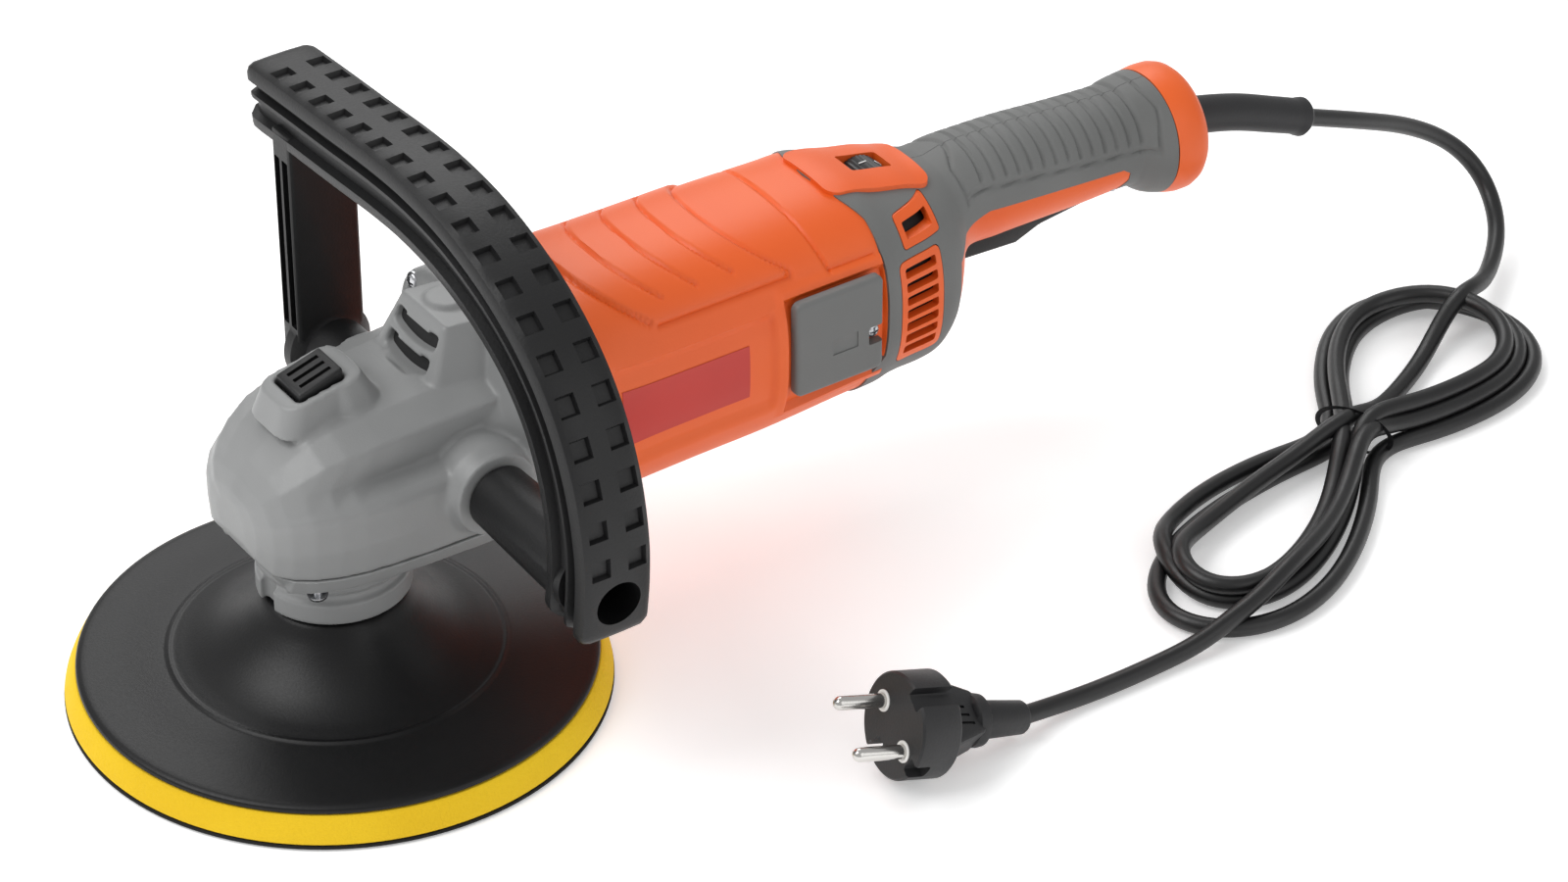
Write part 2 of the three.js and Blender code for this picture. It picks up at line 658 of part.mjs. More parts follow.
function dHandle() {
  const grip = bar(gripCurve(), GRIP_DEPTH / 2, GRIP_WIDTH / 2, 22, 12, 3.2);
  const seat = BOSS_FACE + GAP;
  const halfLeg = GRIP_DEPTH / 2;
  const sleeve = turned("y", HANDLE_X, HANDLE_Z, [
    [0, -SLEEVE_END], [12.4, -SLEEVE_END], [11, -seat], [0, -seat],
  ], 20);
  const leg = box(
    HANDLE_X - halfLeg, LEG_INNER, HANDLE_Z - 4, HANDLE_X + halfLeg, LEG_OUTER, 170,
  );
  const foot = turned("y", HANDLE_X, HANDLE_Z, [
    [0, seat], [11.5, seat], [11.5, LEG_INNER], [15.5, 61], [15.5, 66], [0, 66],
  ], 20);
  const made = cut(
    join(grip, sleeve, leg, foot),
    cylinder("y", HANDLE_X, HANDLE_Z, BOLT_RECESS, -130, -60, 12),
    cylinder("y", HANDLE_X, HANDLE_Z, BOLT_HOLE, -61, -40, 10),
    cylinder("y", HANDLE_X, HANDLE_Z, BOLT_RECESS, 62, 80, 12),
    cylinder("y", HANDLE_X, HANDLE_Z, BOLT_HOLE, 40, 63, 10),
  );
  piece("d_handle", made, black);

  const bolt = (head, tip) =>
    turned("y", 0, 0, [[0, 0], [6.5, 0], [6.5, head], [4, head], [4, tip], [0, tip]], 6);
  const near = piece("handle_bolt_near", bolt(6, 42), steel);
  near.position.set(HANDLE_X, -66.3, HANDLE_Z);
  const far = piece("handle_bolt_far", bolt(6, 44), steel);
  far.position.set(HANDLE_X, 68.3, HANDLE_Z);
  far.rotation.z = Math.PI;
}

// ---- mains cord: lead, hank with its tie, tail and plug ----
const HANK_LOW = 0.2;
const HANK_TOP = 14.4;
const LOOP_NEAR = [268, -126, 27]; // centre and radius of the loop on the plug's side
const WAIST = [357, -87, 13];
const LOOP_FAR = [415, -62, 33];

// The outline round two discs.
function stadium([ax, ay, ar], [bx, by, br]) {
  const along = Math.atan2(by - ay, bx - ax);
  const lean = Math.acos((ar - br) / Math.hypot(bx - ax, by - ay));
  const shape = new THREE.Shape();
  shape.absarc(ax, ay, ar, along + lean, along - lean + 2 * Math.PI);
  shape.absarc(bx, by, br, along - lean, along + lean);
  return shape;
}

function cord() {
  const lead = new THREE.CatmullRomCurve3(
    [
      RELIEF_END.toArray(), [430, 3, 64], [457, 8, 50], [477, 8, 37], [487, 2, 26],
      [487, -8, 17], [480, -20, 11], [468, -31, 8.5], [449.5, -44.5, 8],
    ].map((p) => new THREE.Vector3(...p)),
  );
  lead.points[0].addScaledVector(RELIEF_HEADING, 2 * GAP);
  piece("cord_lead", bar(lead, CORD_RADIUS, CORD_RADIUS, 30, 8), blackRubber);

  const tail = new THREE.CatmullRomCurve3(
    [
      [250, -149.6, 3.4], [228, -149.4, 3.4], [208, -150, 3.4], [188, -149.2, 3.6],
      PLUG_FACE.clone()
        .addScaledVector(PLUG_AXIS, -PLUG_LENGTH - 3 * GAP)
        .toArray(),
    ].map((p) => new THREE.Vector3(...p)),
  );
  piece("cord_tail", bar(tail, CORD_RADIUS, CORD_RADIUS, 16, 8), blackRubber);

  const hankAxis = new THREE.Group();
  const [x, y, half] = WAIST;
  const tieWidth = 4.4;
  hankAxis.position.set(x, y, 0);
  hankAxis.rotation.z = Math.atan2(LOOP_FAR[1] - LOOP_NEAR[1], LOOP_FAR[0] - LOOP_NEAR[0]);
  polisher.add(hankAxis);
  hankAxis.updateMatrixWorld();
  const groove = new THREE.BoxGeometry(tieWidth + 2.6, 2 * half + 6, 2);
  groove.applyMatrix4(hankAxis.matrixWorld).translate(0, 0, HANK_LOW + 0.5);
  const hank = cut(
    join(
      extrude("z", stadium(LOOP_NEAR, WAIST), HANK_LOW, HANK_TOP, 10),
      extrude("z", stadium(WAIST, LOOP_FAR), HANK_LOW, HANK_TOP, 10),
    ),
    solid(groove),
  );
  piece("cord_hank", hank, blackRubber);
  const tie = cut(
    box(-tieWidth / 2, -half - 3.2, HANK_LOW, tieWidth / 2, half + 3.2, HANK_TOP + 2),
    box(-tieWidth, -half - 1.6, HANK_LOW + 1, tieWidth, half + 1.6, HANK_TOP + GAP),
  );
  piece("cord_tie", tie, black, hankAxis);
}

// The plug lies on its rim: local +Z points along the pins and local +X from one pin to the other.
function plug() {
  const group = new THREE.Group();
  const across = PLUG_SIDE.clone();
  across.addScaledVector(PLUG_AXIS, -across.dot(PLUG_AXIS)).normalize();
  const third = PLUG_AXIS.clone().cross(across);
  group.applyMatrix4(new THREE.Matrix4().makeBasis(across, third, PLUG_AXIS).setPosition(PLUG_FACE));
  polisher.add(group);
  const face = cylinder("z", 0, 0, 17.6, -15, 0, 28);
  const notch = bothSides(box(-3.5, 14, -20, 3.5, 20, 1));
  const taper = hull(
    [-14, -8, -14], [14, -8, -14], [-14, 8, -14], [14, 8, -14],
    [-6, -6, -30], [6, -6, -30], [-6, 6, -30], [6, 6, -30],
  );
  const sleeve = turned("z", 0, 0, [
    [0, -PLUG_LENGTH], [5, -PLUG_LENGTH], [5.6, -34], [8.6, -33], [8.6, -29], [6, -28], [0, -28],
  ], 16);
  const hole = (x) => cylinder("z", x, 0, 2.7, -8, 1, 12);
  const pins = [-PIN_SPACING / 2, PIN_SPACING / 2];
  piece("plug_body", cut(join(face, taper, sleeve), notch, ...pins.map(hole)), black, group);
  const pin = turned("z", 0, 0, [[0, -7.7], [2.4, -7.7], [2.4, 17.5], [1.4, 19], [0, 19]], 12);
  pins.forEach((x, i) => {
    piece(`plug_pin_${i + 1}`, pin, steel, group).position.x = x;
  });
}

pad();
spindle();
crownGear();
pinion();
gearCase();
bearingCover();
headScrews();
spindleLock();
motorHousing();
armature();
fan();
stator();
brushes();
rearBody();
speedDial();
paddleLever();
cordExit();
dHandle();
cord();
plug();

export default polisher;
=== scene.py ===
# Rotary polisher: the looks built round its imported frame. Lengths in this file are millimetres;
# a mesh is turned to metres once, when its piece is finished.
import json
import math

import bmesh
import bpy
import numpy as np
from mathutils import Matrix, Vector


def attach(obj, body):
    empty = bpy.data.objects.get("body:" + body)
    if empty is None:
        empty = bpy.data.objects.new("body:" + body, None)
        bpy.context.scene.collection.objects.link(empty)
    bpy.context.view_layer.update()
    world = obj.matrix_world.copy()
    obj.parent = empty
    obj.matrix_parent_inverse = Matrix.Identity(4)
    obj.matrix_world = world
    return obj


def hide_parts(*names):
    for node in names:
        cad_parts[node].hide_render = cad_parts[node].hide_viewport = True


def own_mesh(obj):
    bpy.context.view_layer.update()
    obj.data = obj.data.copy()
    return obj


MM = 0.001
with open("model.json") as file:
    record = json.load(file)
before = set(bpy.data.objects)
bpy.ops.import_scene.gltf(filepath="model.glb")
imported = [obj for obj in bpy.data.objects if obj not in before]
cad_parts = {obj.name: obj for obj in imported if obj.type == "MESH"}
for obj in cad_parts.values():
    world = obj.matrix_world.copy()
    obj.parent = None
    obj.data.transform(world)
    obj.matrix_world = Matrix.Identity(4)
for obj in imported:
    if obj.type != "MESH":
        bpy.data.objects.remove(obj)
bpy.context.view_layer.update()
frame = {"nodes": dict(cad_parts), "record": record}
scene = bpy.context.scene

# ---- camera ----
# A long lens looks down on the polisher from its front right, as a catalogue shot does.
LENS_MM = 123.75
SENSOR_MM = 36
PITCH = math.radians(34.67)
AZIMUTH = math.radians(34.5)
EYE = Vector((-679, -1245, 1070)) * MM

camera_data = bpy.data.cameras.new("camera")
camera_data.lens = LENS_MM
camera_data.sensor_width = SENSOR_MM
camera = bpy.data.objects.new("camera", camera_data)
camera.location = EYE
camera.rotation_euler = (math.pi / 2 - PITCH, 0, -AZIMUTH)
scene.collection.objects.link(camera)
scene.camera = camera


# ---- finishing a piece, and the nodes of its material ----
def linear(code):
    """An sRGB hex colour as linear RGBA."""
    parts = [int(code[i:i + 2], 16) / 255 for i in (1, 3, 5)]
    return (*(p / 12.92 if p <= 0.04045 else ((p + 0.055) / 1.055) ** 2.4 for p in parts), 1)


def add(material, kind, settings=None, links=None):
    """Adds a node with its settings, {socket or attribute: value}, and links, {socket: output}."""
    made = material.node_tree.nodes.new("ShaderNode" + kind)
    for key, value in (settings or {}).items():
        if key in made.inputs:
            made.inputs[key].default_value = value
        else:
            setattr(made, key, value)
    for key, output in (links or {}).items():
        material.node_tree.links.new(output, made.inputs[key])
    return made


TONE_FROM = 0.35
TONE_TO = 0.65
ROUGHNESS_SPREAD = 0.06
GRAIN_HEIGHT = 0.3 * MM


def moulded(name, light, dark, rough, grain_mm, depth=0.1, blotch_mm=60, **shader):
    """A moulded, cast or painted surface: a base colour that wanders between two near tones over
    blotch_mm, and a grain grain_mm across that shows in the bump and in the roughness."""
    material = bpy.data.materials.new(name)
    material.use_nodes = True
    material.node_tree.nodes.clear()
    at = add(material, "TexCoord")
    blotch = add(material, "TexNoise", {"Scale": 1000 / blotch_mm, "Detail": 3},
                 {"Vector": at.outputs["Object"]})
    grain = add(material, "TexNoise", {"Scale": 1000 / grain_mm, "Detail": 2},
                {"Vector": at.outputs["Object"]})
    tone = add(material, "ValToRGB", None, {"Fac": blotch.outputs["Fac"]})
    tone.color_ramp.elements[0].position = TONE_FROM
    tone.color_ramp.elements[0].color = linear(dark)
    tone.color_ramp.elements[1].position = TONE_TO
    tone.color_ramp.elements[1].color = linear(light)
    spread = add(material, "MapRange",
                 {"To Min": rough - ROUGHNESS_SPREAD, "To Max": rough + ROUGHNESS_SPREAD},
                 {"Value": grain.outputs["Fac"]})
    bump = add(material, "Bump", {"Strength": depth, "Distance": GRAIN_HEIGHT},
               {"Height": grain.outputs["Fac"]})
    surface = add(material, "BsdfPrincipled", shader, {
        "Base Color": tone.outputs["Color"],
        "Roughness": spread.outputs["Result"],
        "Normal": bump.outputs["Normal"],
    })
    add(material, "OutputMaterial", None, {"Surface": surface.outputs["BSDF"]})
    return material


def piece(bm, name, body, material, stands_for=(), crease=32):
    """Turns a bmesh in millimetres into a piece of the object, riding on its body."""
    bmesh.ops.scale(bm, vec=(MM, MM, MM), verts=bm.verts)
    mesh = bpy.data.meshes.new(name)
    bm.to_mesh(mesh)
    bm.free()
    mesh.shade_smooth()
    mesh.set_sharp_from_angle(angle=math.radians(crease))
    mesh.materials.append(material)
    made = bpy.data.objects.new(name, mesh)
    scene.collection.objects.link(made)
    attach(made, body)
    if stands_for:
        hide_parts(*stands_for)
    return made


# ---- mains cord ----
# Round rubber cord, 6.4 mm. It leaves the strain relief, falls to the floor, lies in three pinched
# turns with a short doubled-back stretch on top, all held by a twist tie at their waist, and runs on
# to the plug.
CORD_WIDE = 6.4
PLUG_FACE = Vector((118.5, -146, 21))
PLUG_AXIS = Vector((-0.954, 0.1, 0.281)).normalized()
PLUG_LENGTH = 50
CORD_IN_PLUG = 2
FLOOR_LIE = CORD_WIDE / 2 + 0.1
# Strands that cross lie this far apart between centres, and no more than three deep.
CONTACT = 6.1
HIGHEST_LIE = FLOOR_LIE + 12
LEAD = [
    (401, 0, 77), (430, 3, 64), (457, 8, 50), (477, 8, 37), (487, 2, 26), (487, -8, 17),
    (480, -20, 11), (468, -31, 8.5), (449.5, -44.5, 8),
]
TAIL = [(250, -149.6, 3.4), (228, -149.4, 3.4), (208, -150, 3.4), (188, -149.2, 3.6)]
WAIST = Vector((357, -87, 0))
HANK_TURN = math.atan2(64, 147)
STRAND_STEP = 3.0
TURN_POINTS = 15
# Points that are this near along the cord are one strand; so many at its start hang free.
ONE_STRAND = 14
HANGING = 24
# Rounds of settling on the strands below with the fall in each, and of easing: of each round, of the
# settled cord, and of its plan.
SETTLING_ROUNDS = 60
FALL = 0.3
ROUND_EASING = 6
LAST_EASING = 8
PLAN_EASING = 16

# Along the hank from its waist, and to its side.
DOUBLED_BACK = [
    (80, 5), (50, 2), (24, 1), (0, 1), (-22, 9), (-44, 14), (-66, 17.5), (-86, 19), (-101, 15.5),
    (-109, 1), (-101, -13.5), (-86, -17), (-66, -16), (-44, -12), (-22, -5), (0, 4),
]
# Each turn: reach, width on the way out, width on the way back, where it passes the waist.
TURNS = [
    (92, 31, 23, 4, -3.2),
    (-108, -20, -27, -3.2, 9),
    (100, 34, 30, 9, -9),
    (-124, -27, -22, -9, 3.2),
    (96, 30, 26, 3.2, -6.4),
]
TO_TAIL = [(-22, -11), (-50, -18), (-74, -20.5), (-94, -20), (-110, -17.5)]
# Where strands cross, the one with the higher level lies on the other.
LEAD_LEVEL = 6
DOUBLED_DROP = 2
TURN_LEVELS = [2, 0.5, 0, 0.4, 0.8]
TAIL_LEVEL = 5


def on_hank(u, v, height):
    """A point from its place along the hank, to the hank's side, and over the floor."""
    return WAIST + Matrix.Rotation(HANK_TURN, 3, "Z") @ Vector((u, v, height))


def turn_points(reach, out, back, enter, leave):
    """One pinched turn, from the waist and back to it."""
    points = []
    for s in np.linspace(0, math.pi, TURN_POINTS)[1:]:
        side, pass_at = (out, enter) if s < math.pi / 2 else (back, leave)
        points.append((reach * math.sin(s), side * math.sin(2 * s) + pass_at * math.cos(s) ** 2))
    return points


def through(points, step):
    """Evenly spaced points on a smooth curve through the given ones."""
    p = np.array(points, float)
    p = np.vstack([2 * p[0] - p[1], p, 2 * p[-1] - p[-2]])
    fine = []
    for a, b, c, d in zip(p, p[1:], p[2:], p[3:]):
        for t in np.arange(0, 1, 1 / 16):
            fine.append(
                0.5 * (2 * b + (c - a) * t + (2 * a - 5 * b + 4 * c - d) * t**2
                       + (3 * b - 3 * c + d - a) * t**3)
            )
    fine = np.array([*fine, p[-2]])
    run = np.r_[0, np.cumsum(np.linalg.norm(np.diff(fine[:, :3], axis=0), axis=1))]
    at = np.linspace(0, run[-1], int(run[-1] / step) + 1)
    return np.column_stack([np.interp(at, run, fine[:, k]) for k in range(fine.shape[1])])


def eased(values, rounds):
    """Smooths a row of values in place, between its two ends."""
    for _ in range(rounds):
        values[1:-1] = (values[:-2] + 2 * values[1:-1] + values[2:]) / 4


def lie_on_itself(line, level):
    """Lifts each strand over those below it, by their level, and lets it ease down between."""
    rest = line[:, 2].copy()
    height = rest.copy()
    flat = np.linalg.norm(line[:, None, :2] - line[None, :, :2], axis=2)
    i, j = np.nonzero(np.triu(flat < CONTACT, ONE_STRAND))
    swap = level[i] > level[j]
    low, high = np.where(swap, j, i), np.where(swap, i, j)
    rise = np.sqrt(np.maximum(CONTACT**2 - flat[low, high] ** 2, 0))
    for _ in range(SETTLING_ROUNDS):
        height = np.maximum(rest, height - FALL)
        np.maximum.at(height, high, height[low] + rise)
        height = np.maximum(np.minimum(height, HIGHEST_LIE), rest)
        eased(height, ROUND_EASING)
        height = np.maximum(height, rest)
    height[:HANGING] = rest[:HANGING]
    eased(height, LAST_EASING)
    return np.column_stack([line[:, :2], height])


route = [(*p, LEAD_LEVEL) for p in LEAD]
route += [(*on_hank(u, v, FLOOR_LIE), LEAD_LEVEL - DOUBLED_DROP * i / len(DOUBLED_BACK))
          for i, (u, v) in enumerate(DOUBLED_BACK)]
for turn, turn_level in zip(TURNS, TURN_LEVELS):
    route += [(*on_hank(u, v, FLOOR_LIE), turn_level) for u, v in turn_points(*turn)]
route += [(*on_hank(u, v, FLOOR_LIE), TAIL_LEVEL) for u, v in TO_TAIL]
route += [(*p, TAIL_LEVEL) for p in TAIL]
route.append((*(PLUG_FACE - PLUG_AXIS * (PLUG_LENGTH - CORD_IN_PLUG)), TAIL_LEVEL))
sampled = through(route, STRAND_STEP)
eased(sampled[:, :2], PLAN_EASING)
strand = lie_on_itself(sampled[:, :3], sampled[:, 3])

# Extruded rubber: near black, with a soft line of light along each strand.
cord_rubber = moulded("cord_rubber", "#131314", "#0d0d0e", 0.4, 1.6, depth=0.12, IOR=1.52)
cord_curve = bpy.data.curves.new("cord", "CURVE")
cord_curve.dimensions = "3D"
cord_curve.bevel_depth = CORD_WIDE / 2 * MM
cord_curve.bevel_resolution = 5
cord_curve.use_fill_caps = True
spline = cord_curve.splines.new("POLY")
spline.points.add(len(strand) - 1)
for point, place in zip(spline.points, strand):
    point.co = (*(place * MM), 1)
cord_curve.materials.append(cord_rubber)
cord = bpy.data.objects.new("cord", cord_curve)
scene.collection.objects.link(cord)
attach(cord, "tool")
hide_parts("cord_lead", "cord_tail", "cord_hank")


# ---- twist tie ----
# A wire tie with a plastic skin, bent in a ring round the waist of the hank and shut by hand.
TIE_HALF = (14, 14.2, 8)
TIE_HEIGHT = 8.7
TIE_THICK = 0.075

# Soft vinyl: a dull black, a little greyer than the cord.
tie_plastic = moulded("tie_plastic", "#202022", "#18181a", 0.45, 1.2)


def ringed(radius, thick, segments, sides):
    """A ring round X, its section a circle."""
    bm = bmesh.new()
    bmesh.ops.create_circle(bm, segments=sides, radius=thick)
    bmesh.ops.translate(bm, vec=(0, radius, 0), verts=bm.verts)
    bmesh.ops.rotate(bm, cent=(0, radius, 0), matrix=Matrix.Rotation(math.pi / 2, 3, "X"),
                     verts=bm.verts)
    bmesh.ops.rotate(bm, cent=(0, radius, 0), matrix=Matrix.Rotation(math.pi / 2, 3, "Z"),
                     verts=bm.verts)
    bmesh.ops.spin(bm, geom=bm.verts[:] + bm.edges[:], cent=(0, 0, 0), axis=(1, 0, 0),
                   angle=2 * math.pi, steps=segments, use_merge=True)
    bmesh.ops.remove_doubles(bm, verts=bm.verts, dist=0.001)
    bmesh.ops.recalc_face_normals(bm, faces=bm.faces)
    return bm


tie = ringed(1, TIE_THICK, 48, 10)
bmesh.ops.scale(tie, vec=TIE_HALF, verts=tie.verts)
bmesh.ops.rotate(tie, cent=(0, 0, 0), matrix=Matrix.Rotation(HANK_TURN, 3, "Z"), verts=tie.verts)
bmesh.ops.translate(tie, vec=WAIST + Vector((0, 0, TIE_HEIGHT)), verts=tie.verts)
tie_piece = piece(tie, "twist_tie", "tool", tie_plastic, ["cord_tie"])


# ---- plug ----
# Contour plug moulded round its two pins in one black rubber body: a disc with side notches and a
# keyway, a flat tapering grip with three grooves a side, a collar, and a plain sleeve.
def evaluated(bm, *modifiers):
    """The bmesh with modifiers applied, each as (kind, {setting: value})."""
    mesh = bpy.data.meshes.new("working")
    bm.to_mesh(mesh)
    bm.free()
    holder = bpy.data.objects.new("working", mesh)
    scene.collection.objects.link(holder)
    for kind, settings in modifiers:
        modifier = holder.modifiers.new(kind, kind)
        for key, value in settings.items():
            setattr(modifier, key, value)
    applied = bpy.data.meshes.new_from_object(
        holder.evaluated_get(bpy.context.evaluated_depsgraph_get()))
    made = bmesh.new()
    made.from_mesh(applied)
    bpy.data.objects.remove(holder)
    bpy.data.meshes.remove(mesh)
    bpy.data.meshes.remove(applied)
    return made


def combined(bm, tools, operation="DIFFERENCE"):
    """The bmesh with each tool cut away, joined on or kept in common."""
    holders = []
    for tool in tools:
        mesh = bpy.data.meshes.new("tool")
        tool.to_mesh(mesh)
        tool.free()
        holders.append(bpy.data.objects.new("tool", mesh))
        scene.collection.objects.link(holders[-1])
    made = evaluated(bm, *(
        ("BOOLEAN", {"operation": operation, "object": holder, "solver": "EXACT"})
        for holder in holders
    ))
    for holder in holders:
        bpy.data.meshes.remove(holder.data)
    return made


def lathed(profile, segments=64, axis="Z", centre=(0, 0, 0)):
    """A body of revolution from (radius, height) points, about an axis through centre."""
    bm = bmesh.new()
    verts = [bm.verts.new((r, 0, h)) for r, h in profile]
    edges = [bm.edges.new(pair) for pair in zip(verts, verts[1:])]
    bmesh.ops.spin(bm, geom=verts + edges, cent=(0, 0, 0), axis=(0, 0, 1), angle=2 * math.pi,
                   steps=segments, use_merge=True)
    bmesh.ops.remove_doubles(bm, verts=bm.verts, dist=0.001)
    bmesh.ops.recalc_face_normals(bm, faces=bm.faces)
    turn = {"X": ("Y", math.pi / 2), "Y": ("X", -math.pi / 2)}.get(axis)
    if turn:
        bmesh.ops.rotate(bm, cent=(0, 0, 0), matrix=Matrix.Rotation(turn[1], 3, turn[0]),
                         verts=bm.verts)
    bmesh.ops.translate(bm, vec=centre, verts=bm.verts)
    return bm


def rod(radius, low, high, segments, axis="Z", centre=(0, 0, 0)):
    """A plain round bar along an axis, as a bore is cut with."""
    return lathed([(0, low), (radius, low), (radius, high), (0, high)], segments, axis, centre)


def rounded(bm, edges, width, segments, clamped=False):
    """Rounds edges over."""
    bmesh.ops.bevel(bm, geom=edges, offset=width, segments=segments, affect="EDGES", profile=0.5,
                    material=-1, clamp_overlap=clamped)


def block(low, high, rounding=0.0, segments=2):
    """A box between two corners, its edges rounded."""
    bm = bmesh.new()
    bmesh.ops.create_cube(bm, size=1)
    size = Vector(high) - Vector(low)
    bmesh.ops.scale(bm, vec=size, verts=bm.verts)
    bmesh.ops.translate(bm, vec=(Vector(high) + Vector(low)) / 2, verts=bm.verts)
    if rounding:
        rounded(bm, bm.edges[:], rounding, segments, clamped=True)
    return bm


# The plug lies tilted on the floor: its own X runs from pin to pin, and its Z out along them.
PINS_TOWARDS = Vector((0.216, 0.878, 0.43))
across = (PINS_TOWARDS - PLUG_AXIS * PINS_TOWARDS.dot(PLUG_AXIS)).normalized()
plug_place = Matrix((across, PLUG_AXIS.cross(across), PLUG_AXIS)).transposed().to_4x4()
plug_place.translation = PLUG_FACE
PIN_AT = 9.5
GRIP_TAPER = 0.45
GRIP_TAPERS_FROM = -14
GRIP_TAPERS_OVER = 16

plug = lathed([(0, 0), (16.9, 0), (17.6, -0.7), (17.6, -14), (16.8, -15), (0, -15)], 72)
grip = block((-13.5, -8, -30), (13.5, 8, -12), 1.5)
for v in grip.verts:
    narrow = GRIP_TAPER * max(0, (GRIP_TAPERS_FROM - v.co.z) / GRIP_TAPERS_OVER)
    v.co.x *= 1 - narrow
    v.co.y *= 1 - 0.5 * narrow
collar = lathed(
    [(0, -27), (7, -27.4), (8.6, -28.6), (8.9, -30.5), (8.6, -32.4), (7.2, -33.4), (0, -33.6)], 40)
sleeve = lathed(
    [(0, -30), (6.4, -30), (6.3, -36), (5.6, -49), (5, -PLUG_LENGTH), (0, -PLUG_LENGTH)], 40)
plug = combined(plug, [grip, collar, sleeve], "UNION")
notches = [
    block((-3.4, 13.6, -20), (3.4, 20, 1), 0.8),
    block((-3.4, -20, -20), (3.4, -13.6, 1), 0.8),
    block((-19, -3, -6), (-13.8, 3, 1), 0.8),
    block((-2, 8.5, -9), (2, 15, 1), 0.8),
]
for face_side in (-1, 1):
    y = face_side * 6.6
    for k in range(3):
        x = -4.5 + 3 * k
        notches.append(block((x - 0.5, y - 0.9, -26 + k), (x + 0.5, y + 0.9, -18), 0.2))
plug = combined(plug, notches)
plug.transform(plug_place)
# Moulded rubber: charcoal and evenly matt, with a fine spark-eroded grain.
plug_rubber = moulded("plug_rubber", "#1d1d1f", "#151516", 0.5, 0.8, depth=0.2)
plug_piece = piece(plug, "plug", "tool", plug_rubber, ["plug_body"], crease=40)

# Brass pins with round tips, each in an insulating ring. Nickel plate is bright and slightly warm.
PIN_RADIUS = 2.4
PIN_LENGTH = 19
pin_metal = moulded("nickel_plate", "#d8d6d2", "#c2c0bd", 0.2, 0.6, depth=0.03, Metallic=1.0)
# Natural nylon: a clean white with a satin face.
ring_plastic = moulded("white_nylon", "#ecebe7", "#dddcd8", 0.45, 1.0)
for k, x in enumerate((-PIN_AT, PIN_AT)):
    pin_place = plug_place @ Matrix.Translation((x, 0, 0))
    tip = [(PIN_RADIUS * math.cos(t), PIN_LENGTH - PIN_RADIUS + PIN_RADIUS * math.sin(t))
           for t in np.linspace(0, math.pi / 2, 8)]
    pin = lathed([(0, -1), (PIN_RADIUS, -1), *tip[:-1], (0, PIN_LENGTH)], 32)
    pin.transform(pin_place)
    piece(pin, f"pin_{k + 1}", "tool", pin_metal, [f"plug_pin_{k + 1}"])
    ring = lathed([(PIN_RADIUS, -0.5), (3.6, -0.5), (3.6, 0.35), (3.3, 0.5), (2.7, 0.5),
                   (PIN_RADIUS, 0.3), (PIN_RADIUS, -0.5)], 32)
    ring.transform(pin_place)
    piece(ring, f"pin_ring_{k + 1}", "tool", ring_plastic)

# ---- strain relief ----
# A soft tapered rubber sleeve, held in the end cap. It droops with the cord and ends in a low bead.
RELIEF_PATH = [(326, 0, 96.8), (343, 0, 96.6), (366, 0, 91), (386, 0, 83.2), (401, 0, 77)]
RELIEF_RADIUS = 6.9
RELIEF_TAPER = 0.5
# Along the sleeve from 0 to 1: where the bead is, and where the end starts to close on the cord.
BEAD_AT = 0.955
BEAD_REACH = 0.02
BEAD_HEIGHT = 0.7
CLOSES_FROM = 0.975
CLOSES_BY = 2.2


def grown_rows(bm, first, edges, count):
    """Extrudes an open ring count times in place; gives each ring's vertices and the last's edges."""
    rows = [first]
    for _ in range(count):
        grown = bmesh.ops.extrude_edge_only(bm, edges=edges)["geom"]
        rows.append([g for g in grown if isinstance(g, bmesh.types.BMVert)])
        edges = [g for g in grown if isinstance(g, bmesh.types.BMEdge)]
    return rows, edges


def heading(line, k):
    """The unit direction of a sampled line at its point k."""
    return Vector(line[min(k + 1, len(line) - 1)] - line[max(k - 1, 0)]).normalized()


relief_line = through(RELIEF_PATH, 1.5)
relief = bmesh.new()
section = bmesh.ops.create_circle(relief, segments=32, radius=1, cap_ends=True)["verts"]
rows, open_end = grown_rows(relief, section, relief.edges[:], len(relief_line) - 1)
bmesh.ops.holes_fill(relief, edges=open_end)
for k, row in enumerate(rows):
    place = Vector(relief_line[k])
    ahead = heading(relief_line, k)
    share = k / (len(rows) - 1)
    bead = BEAD_HEIGHT * math.exp(-((share - BEAD_AT) / BEAD_REACH) ** 2)
    closing = CLOSES_BY * max(0, (share - CLOSES_FROM) / (1 - CLOSES_FROM))
    radius = RELIEF_RADIUS - RELIEF_TAPER * share + bead - closing
    for v in row:
        v.co = place + (Vector((0, v.co.x, 0)) + Vector((ahead.z, 0, -ahead.x)) * -v.co.y) * radius
bmesh.ops.recalc_face_normals(relief, faces=relief.faces)
# Soft moulded rubber: a shade greyer and duller than the cord that leaves it.
relief_rubber = moulded("relief_rubber", "#222224", "#19191b", 0.55, 0.8, depth=0.2)
piece(relief, "cord_sleeve", "tool", relief_rubber, ["strain_relief"])

# ---- polishing pad ----
# Hook-backed pad: black hook cloth under a yellow foam ring, glued to a moulded black backing disc
# whose cone rises to the hub that screws on the spindle. Turned shapes, all on the spindle axis.
# Woven cloth with cut hooks: no shine at all, drawn as a coarse deep grain.
hook_cloth = moulded("hook_cloth", "#141415", "#0b0b0c", 0.9, 0.7, depth=0.8)
hook = lathed([(0, 0), (89.6, 0), (90, 0.3), (90, 1), (89.7, 1.3), (0, 1.3)], 128)
piece(hook, "pad_hook", "spindle", hook_cloth, ["hook_layer"])

